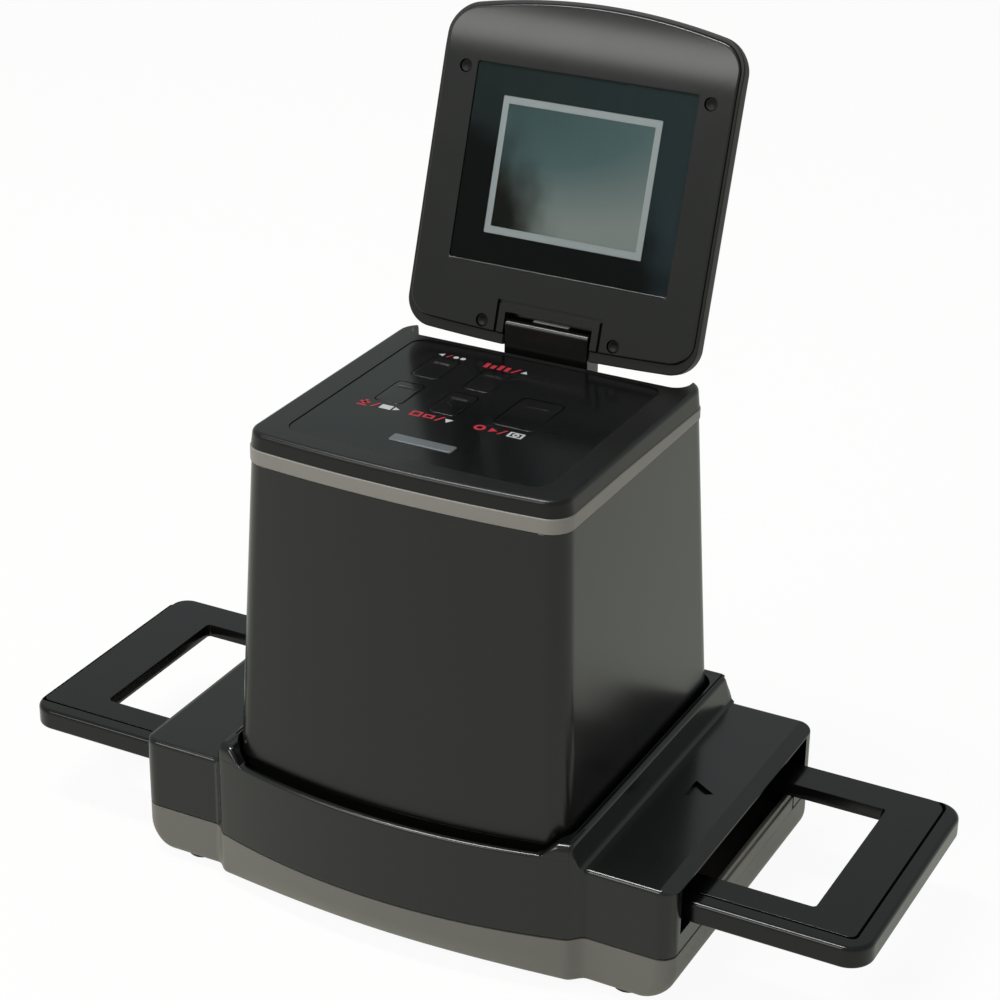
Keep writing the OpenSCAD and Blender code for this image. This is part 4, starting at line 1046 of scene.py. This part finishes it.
LAMP_AT = (-0.535, -1.084, 1.05)
LAMP_SIZE = (0.95, 0.46)
LAMP_POWER = 7.0
LAMP_COLOUR = (1.0, 1.0, 0.95)
BAR_AT = (-0.33, -0.15, 1.37)
BAR_SIZE = (0.16, 0.58)
BAR_POWER = 12.0
SURROUND = [(0.0, (0.70, 0.72, 0.65)), (0.3, (0.42, 0.47, 0.46)), (1.0, (0.40, 0.44, 0.43))]
FLOOR_HALF = 6.0
FLOOR_GLOW = {"Is Camera Ray": 0.94, "Is Transmission Ray": 0.94, "Is Glossy Ray": 0.6}


def place_camera():
    """Camera that looks down at the scanner from its front right."""
    level = cos(CAMERA_RISE)
    back = Vector((sin(CAMERA_TURN) * level, -cos(CAMERA_TURN) * level, sin(CAMERA_RISE)))
    right = (-back).cross(Vector((0, 0, 1))).normalized()
    up = right.cross(-back)
    c, s = cos(CAMERA_ROLL), sin(CAMERA_ROLL)
    right, up = c * right + s * up, c * up - s * right
    aim = Vector(axis * MM) + Vector((0, 0, CAMERA_AIM[2] * MM))
    aim += right * CAMERA_AIM[0] * MM + up * CAMERA_AIM[1] * MM
    data = bpy.data.cameras.new("camera")
    data.lens = CAMERA_LENS
    data.clip_start = 0.05
    camera = put("camera", data)
    turned = Matrix((right, up, back)).transposed()
    camera.matrix_world = Matrix.Translation(aim + back * CAMERA_AWAY) @ turned.to_4x4()
    bpy.context.scene.camera = camera


def soft_box(name, at, towards, size, power, colour=(1, 1, 1)):
    """Area lamp at a place, turned towards a point."""
    data = bpy.data.lights.new(name, "AREA")
    data.shape = "RECTANGLE"
    data.size, data.size_y = size
    data.energy = power
    data.color = colour
    lamp = put(name, data)
    lamp.location = at
    lamp.rotation_euler = (Vector(towards) - Vector(at)).to_track_quat("-Z", "Y").to_euler()


def studio():
    """Pale surround and floor, with a large soft lamp at the front left and a bar lamp above."""
    bpy.context.scene.view_settings.view_transform = "Standard"
    world = bpy.data.worlds.new("studio")
    bpy.context.scene.world = world
    world.use_nodes = True
    tree = world.node_tree
    light = feed(tree.nodes["Background"], {"Color": (1, 1, 0.97, 1), "Strength": 0.38})
    place = node(tree, "TexCoord").outputs["Generated"]
    height = node(tree, "SeparateXYZ", {"Vector": place}).outputs["Z"]
    mirrored = ramp(tree, height, SURROUND)
    rays = node(tree, "LightPath").outputs
    direct = reckon(tree, "MAXIMUM", rays["Is Camera Ray"], rays["Is Transmission Ray"])
    seen = node(tree, "Background", {"Color": blend(tree, direct, mirrored, WHITE)})
    shown = reckon(tree, "MAXIMUM", direct, rays["Is Glossy Ray"])
    both = node(tree, "MixShader", {"Fac": shown, 1: light.outputs[0], 2: seen.outputs[0]})
    feed(tree.nodes["World Output"], {"Surface": both.outputs["Shader"]})

    soft_box("front left lamp", LAMP_AT, (0, 0.04, 0.22), LAMP_SIZE, LAMP_POWER, LAMP_COLOUR)
    soft_box("top bar lamp", BAR_AT, (0, BAR_AT[1], 0.1), BAR_SIZE, BAR_POWER)

    mesh = bpy.data.meshes.new("floor")
    corners = [(x * FLOOR_HALF, y * FLOOR_HALF, 0) for x, y in ((-1, -1), (1, -1), (1, 1), (-1, 1))]
    mesh.from_pydata(corners, [], [(0, 1, 2, 3)])
    mesh.materials.append(floor_material())
    put("floor", mesh)


def floor_material():
    """Matt pale floor that looks white to the camera, and keeps a faint shadow."""
    material, tree, surface = new_material(
        "pale floor", {"Base Color": (0.78, 0.8, 0.74, 1), "Roughness": 0.9, "Specular IOR Level": 0})
    rays = node(tree, "LightPath").outputs
    glow = node(tree, "Emission", {"Color": blend(tree, rays["Is Camera Ray"], (0.74, 0.77, 0.69, 1), WHITE)})
    parts = [reckon(tree, "MULTIPLY", rays[ray], share) for ray, share in FLOOR_GLOW.items()]
    share = reckon(tree, "MAXIMUM", reckon(tree, "MAXIMUM", *parts[:2]), parts[2])
    mix = node(tree, "MixShader", {"Fac": share, 1: surface.outputs["BSDF"], 2: glow.outputs["Emission"]})
    feed(tree.nodes["Material Output"], {"Surface": mix.outputs["Shader"]})
    return material


# ---- the scanner ----

def dress_inside():
    """Materials of the nodes that keep their own shape, most of them inside."""
    steel = metal("zinc plated steel", (0.56, 0.57, 0.58), 0.3)
    board = plastic("board lacquer", (0.010, 0.055, 0.026), (0.016, 0.075, 0.035), 0.3, depth=0.05, coat=0.3)
    inner = plastic("inner black plastic", (0.010, 0.010, 0.011), (0.018, 0.018, 0.018), 0.6)
    ribbon = plastic("ribbon film", (0.10, 0.11, 0.12), (0.16, 0.17, 0.18), 0.35)
    lens, _, _ = new_material("coated lens", {"Base Color": (0.85, 0.9, 0.95, 1), "Roughness": 0.03,
                                              "Transmission Weight": 1})
    finishes = {
        steel: ["base_screws", "tower_screws", "board_screws", "panel_screws", "hinge_screws", "hinge_pins",
                "lid_screws", "tray_hinge_pins", "usb_socket"],
        board: ["backlight_board", "sensor_board", "main_board", "button_board"],
        inner: ["film_gate", "light_tunnel", "lens_barrel", "card_slot", "image_sensor"],
        ribbon: ["tower_ribbon", "display_ribbon"],
        plastic("domed rubber", (0.07, 0.07, 0.075), (0.1, 0.1, 0.1), 0.7): ["keypad_mat"],
        plastic("frosted diffuser", (0.85, 0.85, 0.82), (0.9, 0.9, 0.88), 0.5): ["diffuser_panel"],
        plastic("lamp phosphor", (0.85, 0.78, 0.35), (0.9, 0.85, 0.5), 0.4): ["backlight_lamps"],
        lens: ["lens"],
    }
    for material, nodes in finishes.items():
        for name in nodes:
            mesh = frame["nodes"][name].data
            mesh.materials.clear()
            mesh.materials.append(material)


# Painted reflections: tones of the base colour of the screen's print and of the display's picture
PRINT_PAINTED_REFLECTION = [(0.0, (0.014, 0.023, 0.021)), (1.0, (0.022, 0.036, 0.041))]
PICTURE_PAINTED_REFLECTION = [(0.0, (0.050, 0.092, 0.095)), (0.5, (0.085, 0.143, 0.148)), (1.0, (0.25, 0.290, 0.275))]


def build():
    satin = plastic("satin black plastic", (0.0028, 0.0028, 0.0026), (0.0046, 0.0046, 0.0042), 0.24, 0.47, 0.03,
                    dust=0.1)
    bezel = plastic("bezel black plastic", (0.0028, 0.0028, 0.0026), (0.0045, 0.0045, 0.0042), 0.3, 0.33, 0.04,
                    dust=0.1)
    matt = plastic("lid back plastic", (0.003, 0.003, 0.0028), (0.005, 0.005, 0.0046), 0.48, 0.35, 0.04,
                   dust=0.1)
    deck = plastic("base black plastic", (0.0026, 0.0028, 0.0027), (0.004, 0.0042, 0.004), 0.19, 0.5, 0.03,
                   dust=0.1)
    gloss = plastic("smooth black plastic", (0.0025, 0.0026, 0.0026), (0.004, 0.004, 0.004), 0.14, 0.36, 0.03,
                    0.01, dust=0.08)
    panel = plastic("panel black", (0.002, 0.0022, 0.0024), (0.003, 0.003, 0.003), 0.18, 0.3, 0.04, 0.01)
    grey = plastic("warm grey plastic", (0.137, 0.129, 0.118), (0.150, 0.141, 0.129), 0.4)
    pale_grey = plastic("light grey plastic", (0.235, 0.222, 0.208), (0.25, 0.237, 0.223), 0.4, 0.3)
    plug = plastic("plug rubber", (0.002, 0.002, 0.002), (0.003, 0.003, 0.003), 0.4, 0.2)
    rubber = plastic("foot rubber", (0.02, 0.02, 0.02), (0.03, 0.03, 0.03), 0.75, depth=0.1)
    # painted light: the ribbon bend is lighter than the ribbon film, where it lies in the notch's shade
    film = plastic("ribbon bend painted lighter", (0.42, 0.42, 0.39), (0.5, 0.5, 0.46), 0.4, depth=0)
    pale = plastic("frosted window", (0.075, 0.088, 0.095), (0.110, 0.124, 0.132), 0.3)
    red = plastic("red print", (0.33, 0.010, 0.026), (0.39, 0.015, 0.034), 0.5)
    white = plastic("white print", (0.38, 0.40, 0.40), (0.46, 0.48, 0.48), 0.5)
    # painted reflection and painted shadow in the colour of the screen's print and of the display's picture
    print_painted_light = painted_screen_light("black print with painted reflection and shadow", (0.001, 0.001, 0.0005), ((-35, -27), (70, 41), 0.8, 1.15), PRINT_PAINTED_REFLECTION,
                         ((-35, 32), (90, 90)), 0.3)
    border = plastic("pale border", (0.345, 0.395, 0.405), (0.38, 0.43, 0.44), 0.4, depth=0)
    picture = painted_screen_light("display picture with painted reflection and shadow", (0.006, 0.006, 0.003), ((-27, -21), (20, 30), 0.45, 1.3), PICTURE_PAINTED_REFLECTION,
                     ((-23, 18), (85, 34)), 0.35)
    tin = metal("display case", (0.5, 0.5, 0.5), 0.4)

    lower_shell(grey)
    base_cover(deck)
    rubber_feet(rubber)
    tower_housing(satin)
    trim_band(pale_grey)
    top_bezel(bezel)
    control_panel(panel)
    for name in KEYS:
        button(name, gloss)
    indicator(pale)
    panel_marks(red, white)
    hinge_block(satin)
    ribbon_bend(film)
    lid_back_shell(matt)
    lid_bezel(satin)
    lid_plugs(plug)
    screen(clear_sheet(), print_painted_light, border, picture, tin)
    tray_frame(gloss)
    tray_cover(gloss)
    dress_inside()


place_camera()
studio()
build()
